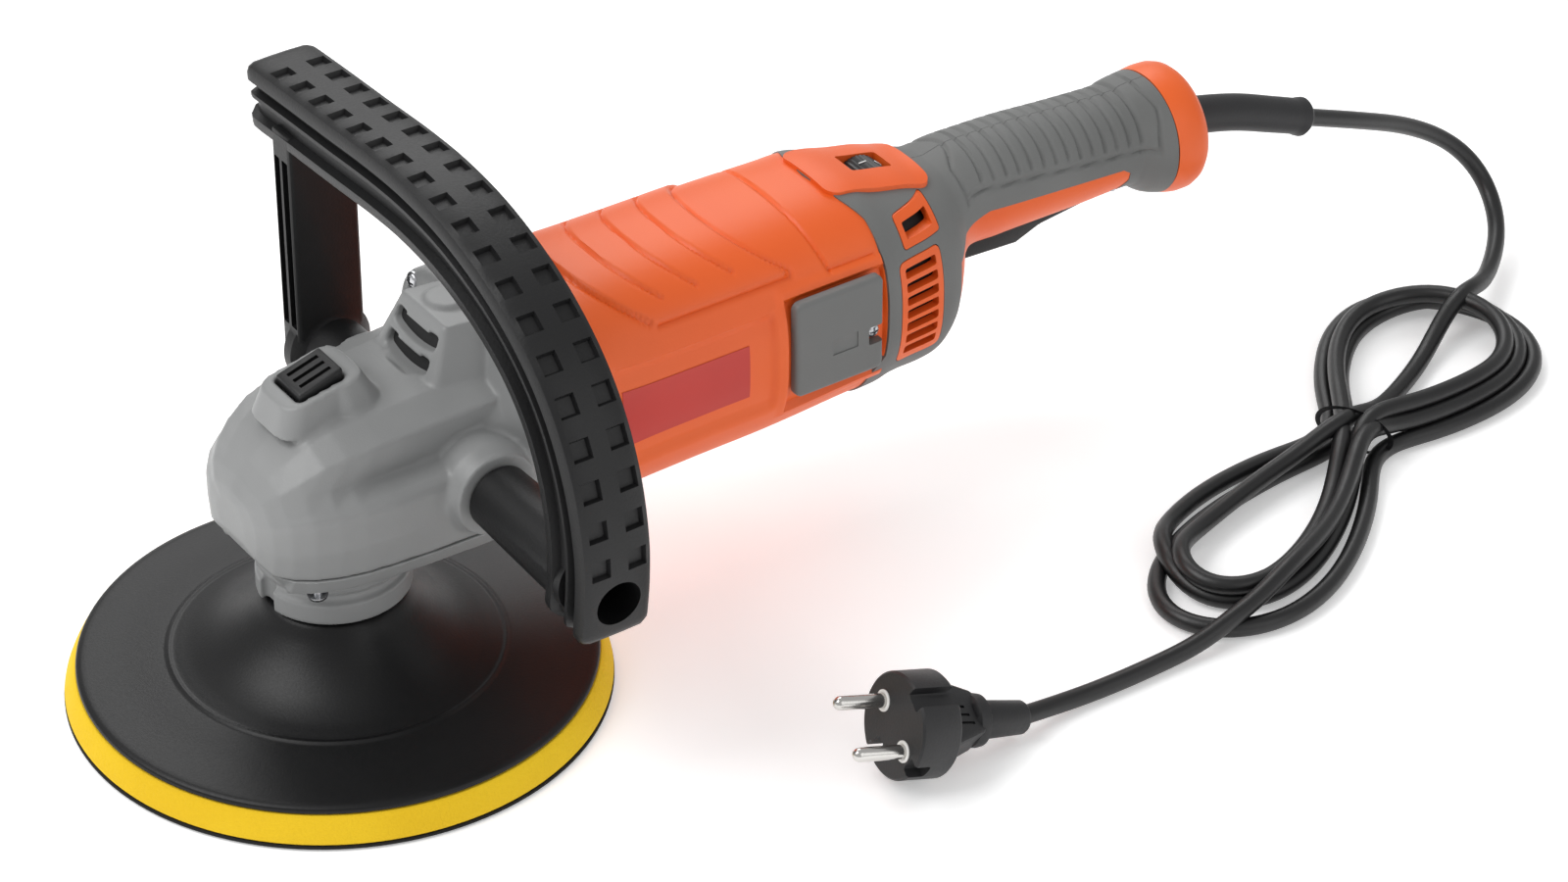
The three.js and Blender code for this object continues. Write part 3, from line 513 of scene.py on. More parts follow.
# Cut polyurethane foam: matt yellow, its open cells drawn about twice as large so that they show.
PORE_MM = 1.1
foam_cells = moulded("foam_cells", "#efc81c", "#e5bb12", 0.9, PORE_MM, depth=1.0)
foam = lathed([(0, 1.5), (89.3, 1.5), (89.8, 2.2), (89.5, 3.6), (88.6, 6), (87.4, 8.6), (86.5, 10),
               (85.9, 10.5), (0, 10.5)], 160)
foam_ring = piece(foam, "pad_foam", "spindle", foam_cells, ["foam_layer"])

# Moulded ABS: black, with a wide low sheen down the cone.
disc_abs = moulded("disc_abs", "#131314", "#0e0e0f", 0.4, 0.9, depth=0.14,
                   **{"Specular IOR Level": 0.3})
rim = [(0, 10.7), (85, 10.7), (85.6, 11.1), (85.6, 12), (85.1, 12.7), (83.4, 13.1)]
flat = [tuple(p[:2]) for p in through([(82, 13.2, 0), (70, 14.1, 0), (57, 15.5, 0)], 2)]
ridge = [(55.9, 15.6), (55.5, 16.1), (54.8, 16.2), (54.3, 15.9)]
cone = [tuple(p[:2]) for p in through(
    [(53.5, 16, 0), (47, 17.9, 0), (40, 21.4, 0), (33, 26.8, 0), (27.5, 32.6, 0), (24.5, 37, 0)], 1.2)]
hub = [(23.6, 38.2), (22.6, 38.6), (7.3, 38.6), (7.3, 19.6), (0, 19.6)]
disc = lathed([*rim, *flat, *ridge, *cone, *hub], 144)
piece(disc, "pad_disc", "spindle", disc_abs, ["backing_disc"], crease=50)

# ---- gear head ----
# Die-cast aluminium case and bearing cover, painted light grey. Castings have soft edges all over, so
# they are built up from simple bodies, cut, and softened as one.
# Enamel on a casting: a half glossy grey, with a fine orange peel that breaks up the light.
cast_paint = moulded("cast_paint", "#8f9090", "#868787", 0.42, 0.7, depth=0.16)
MOTOR_Z = 89
HANDLE_X = 37
HANDLE_Z = 83.5
MOTOR_AXIS = (0, 0, MOTOR_Z)
HANDLE_AXIS = (HANDLE_X, 0, HANDLE_Z)
# Along the head: x, half width, shoulder height, height at the middle, lowest, depth of the channel.
HEAD = [
    (-36, 9, 82, 87, 73, 0), (-35.2, 15, 84, 89.5, 69.5, 0), (-32.6, 21.5, 86, 94, 66, 0),
    (-28.5, 26.5, 88, 98.6, 66, 0), (-22.5, 30.8, 89.5, 103.6, 66, 0), (-15, 34, 90.3, 108.6, 66, 0.3),
    (-7, 36, 91, 111, 66, 0.65), (4, 37.2, 91.6, 112.4, 66, 0.9), (18, 38, 92.2, 113.4, 66, 1),
    (34, 38.4, 93, 114.6, 66, 1), (54, 39, 94, 116, 66, 1),
]


def outline_up(x, wide, shoulder, top, lowest, channel):
    """Half of the head's section, from the middle of its floor up to the middle of its top."""
    ridge = (wide * 0.74, shoulder + (top - shoulder) * 0.7)
    edge = (wide - 2.6, shoulder + 0.9)
    hollow = ((1 - channel) * (ridge[0] + edge[0]) / 2 + channel * (ridge[0] - 1),
              (1 - channel) * (ridge[1] + edge[1]) / 2 + channel * (edge[1] + 1.4))
    return [
        (0, lowest), (wide - 1.5, lowest), (wide, lowest + 0.45 * (shoulder - lowest)),
        (wide, shoulder - 3), (wide - 0.7, shoulder - 0.6), edge, hollow, ridge,
        (ridge[0] * 0.62, top - 1.2), (0, top),
    ]


def lofted(sections):
    """A closed body through like sections, each a list of points in order."""
    bm = bmesh.new()
    verts = [bm.verts.new(p) for p in sections[0]]
    first_ring = [bm.edges.new(pair) for pair in zip(verts, verts[1:] + verts[:1])]
    rows, last_ring = grown_rows(bm, verts, first_ring, len(sections) - 1)
    for row, section in zip(rows, sections):
        for v, place in zip(row, section):
            v.co = place
    bmesh.ops.holes_fill(bm, edges=first_ring)
    bmesh.ops.holes_fill(bm, edges=last_ring)
    bmesh.ops.recalc_face_normals(bm, faces=bm.faces)
    return bm


def head_section(station):
    """The head's whole section at a station of HEAD, as points in order."""
    half = outline_up(*station)
    whole = half[1:-1]
    return ([(station[0], 0, half[0][1])] + [(station[0], y, z) for y, z in whole]
            + [(station[0], 0, half[-1][1])] + [(station[0], -y, z) for y, z in reversed(whole)])


def squircle(x, z, high, wide, power, count=64):
    """A section across X, between an ellipse and a rectangle."""
    points = []
    for k in range(count):
        c, si = math.cos(2 * math.pi * k / count), math.sin(2 * math.pi * k / count)
        points.append((x, wide * math.copysign(abs(c) ** (2 / power), c),
                       z + high * math.copysign(abs(si) ** (2 / power), si)))
    return points


def rounded_plan(low, high, corner, z, lean=0.0):
    """Corner points of a rounded rectangle at height z, leaning up towards +X."""
    inner_low = (low[0] + corner, low[1] + corner)
    inner_high = (high[0] - corner, high[1] - corner)
    points = []
    for cx, cy, start in ((*inner_high, 0), (inner_low[0], inner_high[1], 1),
                          (*inner_low, 2), (inner_high[0], inner_low[1], 3)):
        for k in range(7):
            t = (start + k / 6) * math.pi / 2
            x = cx + corner * math.cos(t)
            points.append((x, cy + corner * math.sin(t), z + lean * (x - low[0])))
    return points


def wedge(points):
    """The solid spanned by a few points."""
    bm = bmesh.new()
    for p in points:
        bm.verts.new(p)
    hulled = bmesh.ops.convex_hull(bm, input=bm.verts)
    bmesh.ops.delete(bm, geom=hulled["geom_interior"], context="VERTS")
    bmesh.ops.recalc_face_normals(bm, faces=bm.faces)
    return bm


def softened(bm, voxel, rounds):
    """A casting's soft edges: evenly meshed again, then smoothed."""
    return evaluated(
        bm,
        ("REMESH", {"mode": "VOXEL", "voxel_size": voxel, "use_smooth_shade": True}),
        ("SMOOTH", {"factor": 0.5, "iterations": rounds}),
    )


head = lofted([head_section(station) for station in HEAD])
# The neck swells into the squarish flange that the motor housing is screwed to.
NECK = [
    (38, 90, 17, 27, 3), (47, 90, 24, 33, 3.2), (51, MOTOR_Z, 38, 38.5, 4),
    (52.6, MOTOR_Z, 39.5, 39.5, 4), (61.7, MOTOR_Z, 39.5, 39.5, 4),
]
neck = lofted([squircle(*station) for station in NECK])
vent_block = wedge(
    rounded_plan((29, -19), (61, 19), 3, 112)
    + rounded_plan((37.5, -13.5), (57.5, 13.5), 1.5, 130.6, -0.1)
    + [(58, -25, 109), (58, 25, 109), (27, -15, 109), (27, 15, 109)])
surround = wedge(
    rounded_plan((-22, -12.8), (11.5, 12.8), 6, 108)
    + rounded_plan((-18.5, -11), (9, 11), 6, 117.8, 0.19))
rear_rim = wedge(
    rounded_plan((-3, -15), (17, 15), 8, 109)
    + rounded_plan((-4, -11.6), (9.6, 11.6), 6, 120.4, 0.2))
BOSS = [(0, 20), (16.4, 20), (16.4, 37), (14.8, 41), (14.6, 43), (0, 43)]
far_boss = lathed(BOSS, 48, "Y", HANDLE_AXIS)
near_boss = lathed([(r, -h) for r, h in BOSS], 48, "Y", HANDLE_AXIS)
round_boss = lathed([(0, 118), (7.4, 118), (7.2, 130.4), (6.4, 131.4), (0, 131.4)], 40, "Z", (47, 2, 0))
case = combined(head, [neck, vent_block, surround, rear_rim, far_boss, near_boss, round_boss], "UNION")
case_cuts = [
    lathed([(0, 60), (29.8, 60), (29.8, 86), (24, 88), (24, 93), (0, 93)], 56),
    rod(36.3, 50, 66, 56, "X", MOTOR_AXIS),
    rod(14, 8, 52, 32, "X", MOTOR_AXIS),
    rod(2.2, 90, 125, 20, "Z", (-11.2, 0, 0)),
    block((-13.5, -8.2, 112), (4, 8.2, 134), 1),
]
for y in (-30, 30):
    for z in (-31, 31):
        case_cuts.append(rod(4.1, 38, 52.6, 24, "X", (0, y, MOTOR_Z + z)))
# Two slots cross the vent block's sloping face, each an arc that rises to its ends.
SLOT_HALF = 12
SLOT_HIGH = 4.9
SLOT_BOW = 1.5
for low in (113, 120.6):
    arc = [(y, low + SLOT_BOW * (y / SLOT_HALF) ** 2) for y in np.linspace(-SLOT_HALF, SLOT_HALF, 13)]
    case_cuts.append(lofted([
        [(x, y, z + SLOT_HIGH) for y, z in arc] + [(x, y, z) for y, z in reversed(arc)] for x in (26, 46)
    ]))
case = combined(case, case_cuts)
CASE_VOXEL = 0.84
case = softened(case, CASE_VOXEL, 2)
piece(case, "case_casting", "tool", cast_paint, ["gear_case"], crease=80)

# Behind the slots stands a plate of matt black nylon: painted shade that makes them look deep.
slot_shade_nylon = moulded("slot_shade_nylon", "#121213", "#0c0c0d", 0.7, 1)
vent_shade_plate = wedge([(31.6, -13, 112), (31.6, 13, 112), (36, -13, 112), (36, 13, 112),
               (38.7, -12.4, 127.8), (38.7, 12.4, 127.8), (44, -12.4, 127.8), (44, 12.4, 127.8)])
piece(vent_shade_plate, "vent_slot_shade", "tool", slot_shade_nylon)


COVER_REAR = 42


def cover_plan(z, inset):
    """The cover's outline at height z, inside the head's by an inset."""
    half = [(x, wide - inset) for x, wide, *_ in HEAD[2:-1]]
    nose = HEAD[2][0] + inset
    half[0] = (nose, half[0][1])
    plan = [(nose, 0)] + half + [(COVER_REAR, half[-1][1])]
    return ([(x, y, z) for x, y in plan] + [(COVER_REAR, 0, z)]
            + [(x, -y, z) for x, y in reversed(plan[1:])])


cover = lofted([cover_plan(57.9, 7), cover_plan(59.4, 4.2), cover_plan(65.7, 1.2)])
collar = lathed([(0, 40), (25, 40), (25.5, 40.5), (25.5, 47.6), (24, 48.6), (23.6, 51),
                 (25.5, 52.2), (25.5, 60), (0, 60)], 96)
cover = combined(cover, [collar], "UNION")
cover_cuts = [
    rod(10, 36, 57, 48),
    rod(20.3, 55.7, 68, 48),
    block((-30, -4, 39), (-22.4, 4, 49.5)),
    block((-31, -15, 52.8), (-24.5, -7, 58.4), 0.6),
]
cover = combined(cover, cover_cuts)
COVER_VOXEL = 0.6
cover = softened(cover, COVER_VOXEL, 3)
piece(cover, "cover_casting", "tool", cast_paint, ["bearing_cover"], crease=80)

# Pan-head screws with cross recesses. Zinc plate is bright and cool, a little clouded.
zinc = moulded("zinc_plate", "#cfd0d2", "#b9babd", 0.25, 0.5, depth=0.05, Metallic=1.0)


def pan_screw(radius, depth):
    """A screw with its head's seat at the origin, its head towards +Z and its shank the other way."""
    dome = [(radius * math.cos(t), 0.5 + 1.7 * math.sin(t)) for t in np.linspace(0, math.pi / 2, 7)]
    bm = lathed([(0, -depth), (radius / 2, -depth), (radius / 2, 0), (radius, 0), *dome[:-1], (0, 2.2)], 32)
    arm = radius * 0.6
    cross = [block((-arm, -0.4, 0.9), (arm, 0.4, 3)), block((-0.4, -arm, 0.9), (0.4, arm, 3))]
    return combined(bm, cross)


def screw_at(name, node, place, turn, radius, depth):
    """A screw with its seat at a place, turned, for a node of the frame."""
    bm = pan_screw(radius, depth)
    bm.transform(Matrix.Translation(place) @ turn)
    piece(bm, name, "tool", zinc, [node])


DOWN = Matrix.Rotation(math.pi, 4, "X")
FORWARD = Matrix.Rotation(-math.pi / 2, 4, "Y")
for k, (x, y) in enumerate([(-20, -25), (-20, 25), (35, -26), (35, 26)]):
    screw_at(f"case_screw_{k + 1}", f"cover_screw_{k + 1}", (x, y, 57.6), DOWN, 3.4, 16)
for k, (y, z) in enumerate([(-30, -31), (-30, 31), (30, -31), (30, 31)]):
    screw_at(f"neck_screw_{k + 1}", f"flange_screw_{k + 1}", (52.2, y, MOTOR_Z + z), FORWARD, 3.4, 19)

# ---- spindle lock button ----
# Black nylon wedge with ribs along its slope, in its cast surround; it rides with its pin.
# Moulded nylon: black with a satin face and a fine grain.
black_nylon = moulded("black_nylon", "#171718", "#111112", 0.42, 0.8, depth=0.15)
BUTTON_LOW_END = 120.6
BUTTON_HIGH_END = 125.2
RIB_STEP = 3.9
button = block((-12.8, -7.5, 117), (3.3, 7.5, 121))
for v in button.verts:
    if v.co.z > 120:
        v.co.z = BUTTON_LOW_END if v.co.x < 0 else BUTTON_HIGH_END
rounded(button, button.edges[:], 0.8, 3)
slope = math.atan2(BUTTON_HIGH_END - BUTTON_LOW_END, 16.1)
rib_cuts = []
for k in (-1, 0, 1):
    rib = block((-10.8, RIB_STEP * k - 0.9, -0.8), (1, RIB_STEP * k + 0.9, 0.7), 0.3)
    rib.transform(Matrix.Translation((0, 0, 123.7)) @ Matrix.Rotation(-slope, 4, "Y"))
    rib_cuts.append(rib)
button = combined(button, rib_cuts)
piece(button, "lock_cap", "spindle_lock", black_nylon, ["lock_button"])

# The return spring under it, two and a half turns of steel wire.
SPRING_TURNS = 2.5
SPRING_STEPS = 60
SPRING_RADIUS = 4
SPRING_X = -2
WIRE = 0.4
SPRING_LOW = 112.9
SPRING_RISE = 3.2
spring = bmesh.new()
bmesh.ops.create_circle(spring, segments=10, radius=WIRE, cap_ends=True)
bmesh.ops.rotate(spring, cent=(0, 0, 0), matrix=Matrix.Rotation(math.pi / 2, 3, "X"),
                 verts=spring.verts)
bmesh.ops.translate(spring, vec=(SPRING_RADIUS, 0, SPRING_LOW), verts=spring.verts)
bmesh.ops.spin(spring, geom=spring.faces[:], cent=(0, 0, 0), axis=(0, 0, 1), steps=SPRING_STEPS,
               angle=2 * math.pi * SPRING_TURNS, dvec=(0, 0, SPRING_RISE / SPRING_STEPS))
bmesh.ops.translate(spring, vec=(SPRING_X, 0, 0), verts=spring.verts)
bmesh.ops.recalc_face_normals(spring, faces=spring.faces)
return_spring = piece(spring, "return_spring", "tool", zinc, ["lock_spring"])
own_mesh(return_spring)

# ---- D-handle ----
# One moulding in glass-filled nylon: the grip's section has two channels in each side face with a rib
# between, and its outer face carries two rows of square dimples.
# Filled nylon: black and drier than the button, its grain taking the shine off the flats.
handle_nylon = moulded("handle_nylon", "#161617", "#101011", 0.46, 0.9, depth=0.22,
                       **{"Specular IOR Level": 0.38})
# The grip's middle line over the head, in y and z, from its far end down to the near side.
GRIP_LINE = [
    (86, 172), (62, 173.7), (35, 175.3), (8, 177), (-14, 176.8), (-36, 173.5), (-58, 165.8),
    (-76, 154.6), (-89, 140.5), (-97.5, 123), (-101.5, 104), (-101.5, 88), (-99.2, 70),
]
DIMPLE_PITCH = 11.8
STEPS_PER_PITCH = 6
STEP = DIMPLE_PITCH / STEPS_PER_PITCH
DIMPLE_STEPS = (1, 2, 3)
DIMPLE_WALL = 0.7
DIMPLE_DEPTH = 1.7
# Steps left plain at the far end, and at the near one round the bolt's hole.
PLAIN_FAR = 4
PLAIN_NEAR = 10
ROUNDED_END = 5
END_WIDTH = 0.72
# Half of the section, from the middle of the outer face to the middle of the inner: (across, out).
GRIP_HALF = [
    (3.2, 12.4), (9.9, 12.2), (11.9, 11.2), (12.7, 9.4), (12.7, 6.6), (9.6, 5.8), (9.4, 2.3), (12, 1.6),
    (12, 0.2), (9.4, -0.5), (9.6, -6), (12.5, -6.8), (12.4, -10), (11, -11.8), (5, -12.4),
]
section = [(w, d) for w, d in GRIP_HALF] + [(-w, d) for w, d in reversed(GRIP_HALF)]
grip_line = through([(y, z, 0) for y, z in GRIP_LINE], STEP)
grip = bmesh.new()
first = [grip.verts.new((w, d, 0)) for w, d in section]
far_end = [grip.edges.new((a, b)) for a, b in zip(first, first[1:] + first[:1])]
grip_rows, near_end = grown_rows(grip, first, far_end, len(grip_line) - 1)
last = len(grip_rows) - 1
dimpled = []
station_of = {v: k for k, row in enumerate(grip_rows) for v in row}
for f in grip.faces:
    ws = [v.co.x for v in f.verts]
    ds = [v.co.y for v in f.verts]
    k = min(station_of[v] for v in f.verts)
    on_row = min(ds) > 12 and min(abs(w) for w in ws) > 3 and min(ws) * max(ws) > 0
    if on_row and PLAIN_FAR < k < last - PLAIN_NEAR and k % STEPS_PER_PITCH in DIMPLE_STEPS:
        dimpled.append(f)
for k, row in enumerate(grip_rows):
    y, z, _ = grip_line[k]
    ahead = heading(grip_line, k)
    out = Vector((0, ahead.y, -ahead.x))
    from_end = min(1, min(k, last - k) * STEP / ROUNDED_END)
    shrink = END_WIDTH + (1 - END_WIDTH) * math.sqrt(1 - (1 - from_end) ** 2)
    for v in row:
        w, d = v.co.x, v.co.y
        v.co = Vector((HANDLE_X + w * shrink, y, z)) + out * d * shrink
bmesh.ops.holes_fill(grip, edges=far_end)
bmesh.ops.holes_fill(grip, edges=near_end)
bmesh.ops.recalc_face_normals(grip, faces=grip.faces)
bmesh.ops.inset_region(grip, faces=dimpled, thickness=DIMPLE_WALL, depth=-DIMPLE_DEPTH,
                       use_even_offset=True)

# A sleeve joins the grip to the near boss, and a foot with a channelled leg to the far one.
sleeve = lathed([(0, 43.3), (10.4, 43.3), (11.1, 44), (12.3, 92), (12.3, 98), (0, 98)],
                56, "Y", HANDLE_AXIS)
bmesh.ops.rotate(sleeve, cent=HANDLE_AXIS, matrix=Matrix.Rotation(math.pi, 3, "Z"),
                 verts=sleeve.verts)
foot = lathed([(0, 43.3), (10.8, 43.3), (11.5, 44), (11.5, 58), (14.6, 60.4), (15.3, 61.2),
               (15.3, 65.4), (14.6, 66), (0, 66)], 56, "Y", HANDLE_AXIS)
leg = block((HANDLE_X - 12.4, 59.2, HANDLE_Z - 2), (HANDLE_X + 12.4, 70.3, 168), 1.2)
leg_cuts = []
for x in (HANDLE_X - 11, HANDLE_X + 11):
    for low, high in ((60.6, 64.2), (65.6, 68.9)):
        leg_cuts.append(block((x - 3.2, low, 94), (x + 3.2, high, 158), 0.5))
leg = combined(leg, leg_cuts)
handle = combined(grip, [sleeve, foot, leg], "UNION")
# Each end is bored for its bolt, and wider for the bolt's head.
BOLT_BORE = 4.4
HEAD_BORE = 8
handle = combined(handle, [
    rod(HEAD_BORE, -130, -60.4, 40, "Y", HANDLE_AXIS),
    rod(BOLT_BORE, -61, -40, 24, "Y", HANDLE_AXIS),
    rod(HEAD_BORE, 62, 80, 40, "Y", HANDLE_AXIS),
    rod(BOLT_BORE, 40, 63, 24, "Y", HANDLE_AXIS),
])
piece(handle, "handle_moulding", "tool", handle_nylon, ["d_handle"], crease=38)

# ---- motor housing ----
# Glass-filled nylon barrel in orange: a squarish flange that turns round, a raised panel with lines
# over the top, a sunk field for the label and one for each brush cover, and a line where it parts.
# Sections of the whole body: x, height of the centre, half height, half width, squareness.
BODY = [
    (56, 89, 39.2, 39.2, 4), (62, 89, 39.5, 39.5, 4), (76, 89, 40.4, 40, 3.2), (92, 89, 40.4, 39.6, 2.7),
    (120, 89.1, 40.1, 39.4, 2.6), (150, 89.2, 39.8, 39.2, 2.6), (180, 89.6, 39.2, 38.7, 2.5),
    (192, 89.6, 38.8, 38.4, 2.5), (204, 88.2, 37.4, 36.8, 2.4), (214, 87, 36.4, 35.6, 2.4),
    (222, 86.2, 34.8, 33.4, 2.4), (229, 87.8, 32.4, 29.5, 2.3), (233, 91, 28.8, 25.6, 2.2),
    (236.5, 97, 23.6, 21.6, 2.2), (243, 101.8, 20, 19.2, 2.2), (256, 101.9, 19.7, 18.9, 2.2),
    (270, 101.6, 19.5, 18.6, 2.2), (290, 100.6, 18.8, 18, 2.2), (311, 100, 18, 17.5, 2.2),
    (316, 99.6, 19, 18.4, 2.2), (321, 98, 21, 20.4, 2.1), (326.2, 97, 22, 21.6, 2.1),
    (332, 96.4, 22.6, 22.2, 2.1),
]
body_table = through(BODY, 0.5)


def on_body(x, angle, lift=0.0):
    """A point on the body: angle 0 is the near side and a quarter turn is the top."""
    z, high, wide, power = (float(np.interp(x, body_table[:, 0], body_table[:, k])) for k in (1, 2, 3, 4))
    c, s = math.cos(angle), math.sin(angle)
    return Vector((
        x,
        -(wide + lift) * math.copysign(abs(c) ** (2 / power), c),
        z + (high + lift) * math.copysign(abs(s) ** (2 / power), s),
    ))


def from_top(angle):
    """Degrees from the top of the body, down either side."""
    return abs((math.degrees(angle) - 90 + 180) % 360 - 180)


def rise_at(value, edge, width):
    """0 before an edge and 1 after it, eased over a width."""
    t = min(max((value - edge) / width + 0.5, 0), 1)
    return t * t * (3 - 2 * t)


def line_at(value, centre, half):
    """1 on a line, 0 further off than its half width."""
    return max(0.0, 1 - ((value - centre) / half) ** 2)


def within(value, low, high, width):
    """1 between two edges and 0 outside them, eased over a width at each."""
    return rise_at(value, low, width) * (1 - rise_at(value, high, width))


def skin(stations, sides, place):
    """An open tube: a ring of edges extruded station by station, each vertex then put in its place."""
    bm = bmesh.new()
    first = bmesh.ops.create_circle(bm, segments=sides, radius=1)["verts"]
    rows, _ = grown_rows(bm, first, bm.edges[:], len(stations) - 1)
    for station, row in zip(stations, rows):
        for v in row:
            v.co = place(station, math.atan2(v.co.y, v.co.x))
    bmesh.ops.recalc_face_normals(bm, faces=bm.faces)
    return bm


def walled(bm, thick):
    """Gives an open skin its wall, inwards."""
    return evaluated(bm, ("SOLIDIFY", {"thickness": thick, "offset": -1}))


# The panel's lines bow back towards the sides, by BOW times the angle squared.
BOW = 0.0067
PANEL_FRONT = 86.8
PANEL_REAR = 140.1
PANEL_LINES = (99.8, 113.4, 127.3)
PARTING_LINE = 167
PARTING_BOW = 0.0014


def housing_relief(x, a):
    """How far the barrel's skin stands out at x, a degrees from its top."""
    bow = BOW * a * a
    # The panel on top, the grooves round it, and the lines over it.
    lift = 1.1 * within(x, PANEL_FRONT + bow, PANEL_REAR + bow, 1.2) * (1 - rise_at(a, 50, 2))
    for line in (PANEL_FRONT - 1, PANEL_REAR + 1):
        lift -= 0.6 * line_at(x, line + bow, 0.9) * (1 - rise_at(a, 51, 1.5))
    lift -= 0.6 * line_at(a, 51.5, 1.2) * within(x, PANEL_FRONT + bow, PANEL_REAR + bow, 1.2)
    for line in PANEL_LINES:
        lift -= 1.0 * line_at(x, line + bow, 0.95) * (1 - rise_at(a, 39, 1.5))
    # The line where the housing parts, over the top and back along the sides.
    lift -= 0.9 * line_at(x, PARTING_LINE + PARTING_BOW * a * a, 1.0) * (1 - rise_at(a, 57, 2))
    lift -= 0.9 * line_at(a, 57, 1.5) * within(x, 171.5, 190, 1)
    # The swelling round the brush covers, the field of the label, the seats of the covers, the flange.
    lift += 0.7 * rise_at(x, 150, 4) * within(a, 58, 122, 3)
    lift -= 1.9 * within(x, 84, 147, 3) * within(a, 69, 110, 2.6)
    lift -= 2.4 * within(x, 151.8, 191.5, 1.2) * within(a, 64, 116, 1.8)
    lift += 0.9 * (1 - rise_at(x, 80, 4)) * rise_at(a, 45, 10)
    return lift


HOUSING_STEP = 0.6
HOUSING_WALL = 2.4
# Glass-filled nylon coloured right through: a warm orange with a satin face that hides scratches.
orange_nylon = moulded("orange_nylon", "#ea6420", "#e45c1a", 0.45, 0.6, depth=0.12, blotch_mm=90)
housing = skin(
    np.arange(62, 192.2, HOUSING_STEP), 160,
    lambda x, t: on_body(x, t, housing_relief(x, from_top(t))),
)
housing = walled(housing, HOUSING_WALL)
piece(housing, "barrel_moulding", "tool", orange_nylon, ["motor_housing"], crease=45)

# The label is a plain film, stuck in its sunk field: smooth dark red, glossier than the nylon.
LABEL_LIFT = 0.12
LABEL_THICK = 0.1
label_film = moulded("label_film", "#c43025", "#bb2b20", 0.35, 4, depth=0.02)
LABEL_X = (88, 137.5)
LABEL_TURN = (80, 100)
label = bmesh.new()
bmesh.ops.create_grid(label, x_segments=24, y_segments=16, size=0.5)
for v in label.verts:
    x = LABEL_X[0] + (LABEL_X[1] - LABEL_X[0]) * (v.co.x + 0.5)
    down = LABEL_TURN[0] + (LABEL_TURN[1] - LABEL_TURN[0]) * (v.co.y + 0.5)
    v.co = on_body(x, math.radians(90 - down), housing_relief(x, down) + LABEL_LIFT)
bmesh.ops.recalc_face_normals(label, faces=label.faces)
label = walled(label, LABEL_THICK)
piece(label, "label", "tool", label_film)

# ---- brush covers ----
# Moulded plates let into the barrel's sides over the carbon brushes, each held by one screw in a
# notch, with a plain sunk mark. Grey ABS is even in tone and has a soft sheen.
grey_abs = moulded("grey_abs", "#6e6f6e", "#676867", 0.5, 0.6, depth=0.18)
SCREW_X = 185.6
SCREW_Z = 88
COVER_SEAT = 37.6
COVER_FACE = 41.2
for side, name in ((-1, "near"), (1, "far")):
    plate = block((153.6, COVER_SEAT, 74), (188.4, COVER_FACE, 110))
    rounded(plate, [e for e in plate.edges if abs(e.verts[0].co.y - e.verts[1].co.y) > 1], 2.6, 5)
    rounded(plate, [e for e in plate.edges if min(v.co.y for v in e.verts) > COVER_FACE - 0.1], 1.6, 3)
    cuts = [
        block((SCREW_X - 3.2, 36, SCREW_Z - 3.4), (192, 42, SCREW_Z + 3.4), 0.8),
        block((168, 40.8, 86), (178, 42, 92), 0.1),
    ]
    plate = combined(plate, cuts)
    if side < 0:
        bmesh.ops.scale(plate, vec=(1, -1, 1), verts=plate.verts)
        bmesh.ops.reverse_faces(plate, faces=plate.faces)
    piece(plate, f"brush_plate_{name}", "tool", grey_abs, [f"brush_cover_{name}"])
    outward = Matrix.Rotation(-side * math.pi / 2, 4, "X")
    seat = (SCREW_X, COVER_SEAT * side, SCREW_Z)
    screw_at(f"plate_screw_{name}", f"brush_cover_screw_{name}", seat, outward, 2.6, 7)

# ---- rear body and grip ----
# Two nylon shells with a grey soft skin: a collar whose front edge waves over the barrel, windows for
# the grilles, and a grip with ribs inside an outline. The underside of the grip is left orange.
# Thermoplastic rubber moulded over the nylon: grey and dry, the dullest of the outer surfaces.
grip_skin = moulded("grip_skin", "#6f706f", "#666766", 0.62, 0.5, depth=0.2)
# Where the collar's front edge runs: degrees from the top, and x.
FRONT_EDGE = ([0, 20, 36, 56, 66, 88, 107, 118, 180], [184, 187, 191.3, 192, 192.6, 192.4, 192, 187, 186])
SHELL_FRONT = 192.3
SHELL_REAR = 326.4
SHELL_WALL = 2.2
RIB_PITCH = 5.2
RIB_DEPTH = 0.9
RIB_HALF = 0.95
FIRST_RIB = 246
LAST_RIB = 317


def grip_relief(x, a):
    """How far the skin stands out at x, a degrees from the top: the collar's lip, an outline, and the
    ribs inside it."""
    lift = 0.5 * (1 - rise_at(x, 197, 7))
    front = float(np.interp(a, [0, 8, 28, 64], [241, 240.5, 237.5, 239]))
    rear = float(np.interp(a, [0, 14, 40, 70], [320.5, 320.5, 322.5, 320]))
    lowest = float(np.interp(x, [240, 316], [66, 85]))
    inside = min(x - front, rear - x, (lowest - a) * 0.34)
    lift -= RIB_DEPTH * line_at(inside, 0, RIB_HALF)
    if inside > 1.5:
        nearest = FIRST_RIB + RIB_PITCH * round((x - FIRST_RIB) / RIB_PITCH)
        if FIRST_RIB - 1 < nearest < LAST_RIB:
            lift -= RIB_DEPTH * line_at(x, nearest, RIB_HALF) * (1 - rise_at(a, lowest - 9, 3))
    return lift


def shell_place(station, angle):
    """Where the shells' skin is: near the front, the stations follow the waving edge."""
    a = from_top(angle)
    fade = 1 - rise_at(station, SHELL_FRONT + 7, 14)
    x = station + (float(np.interp(a, *FRONT_EDGE)) - SHELL_FRONT) * fade
    return on_body(x, angle, grip_relief(x, a))


shell_stations = np.r_[
    np.arange(SHELL_FRONT, 236, 1.0), np.arange(236, 324, 0.5), np.arange(324, SHELL_REAR, 0.8), SHELL_REAR,
]
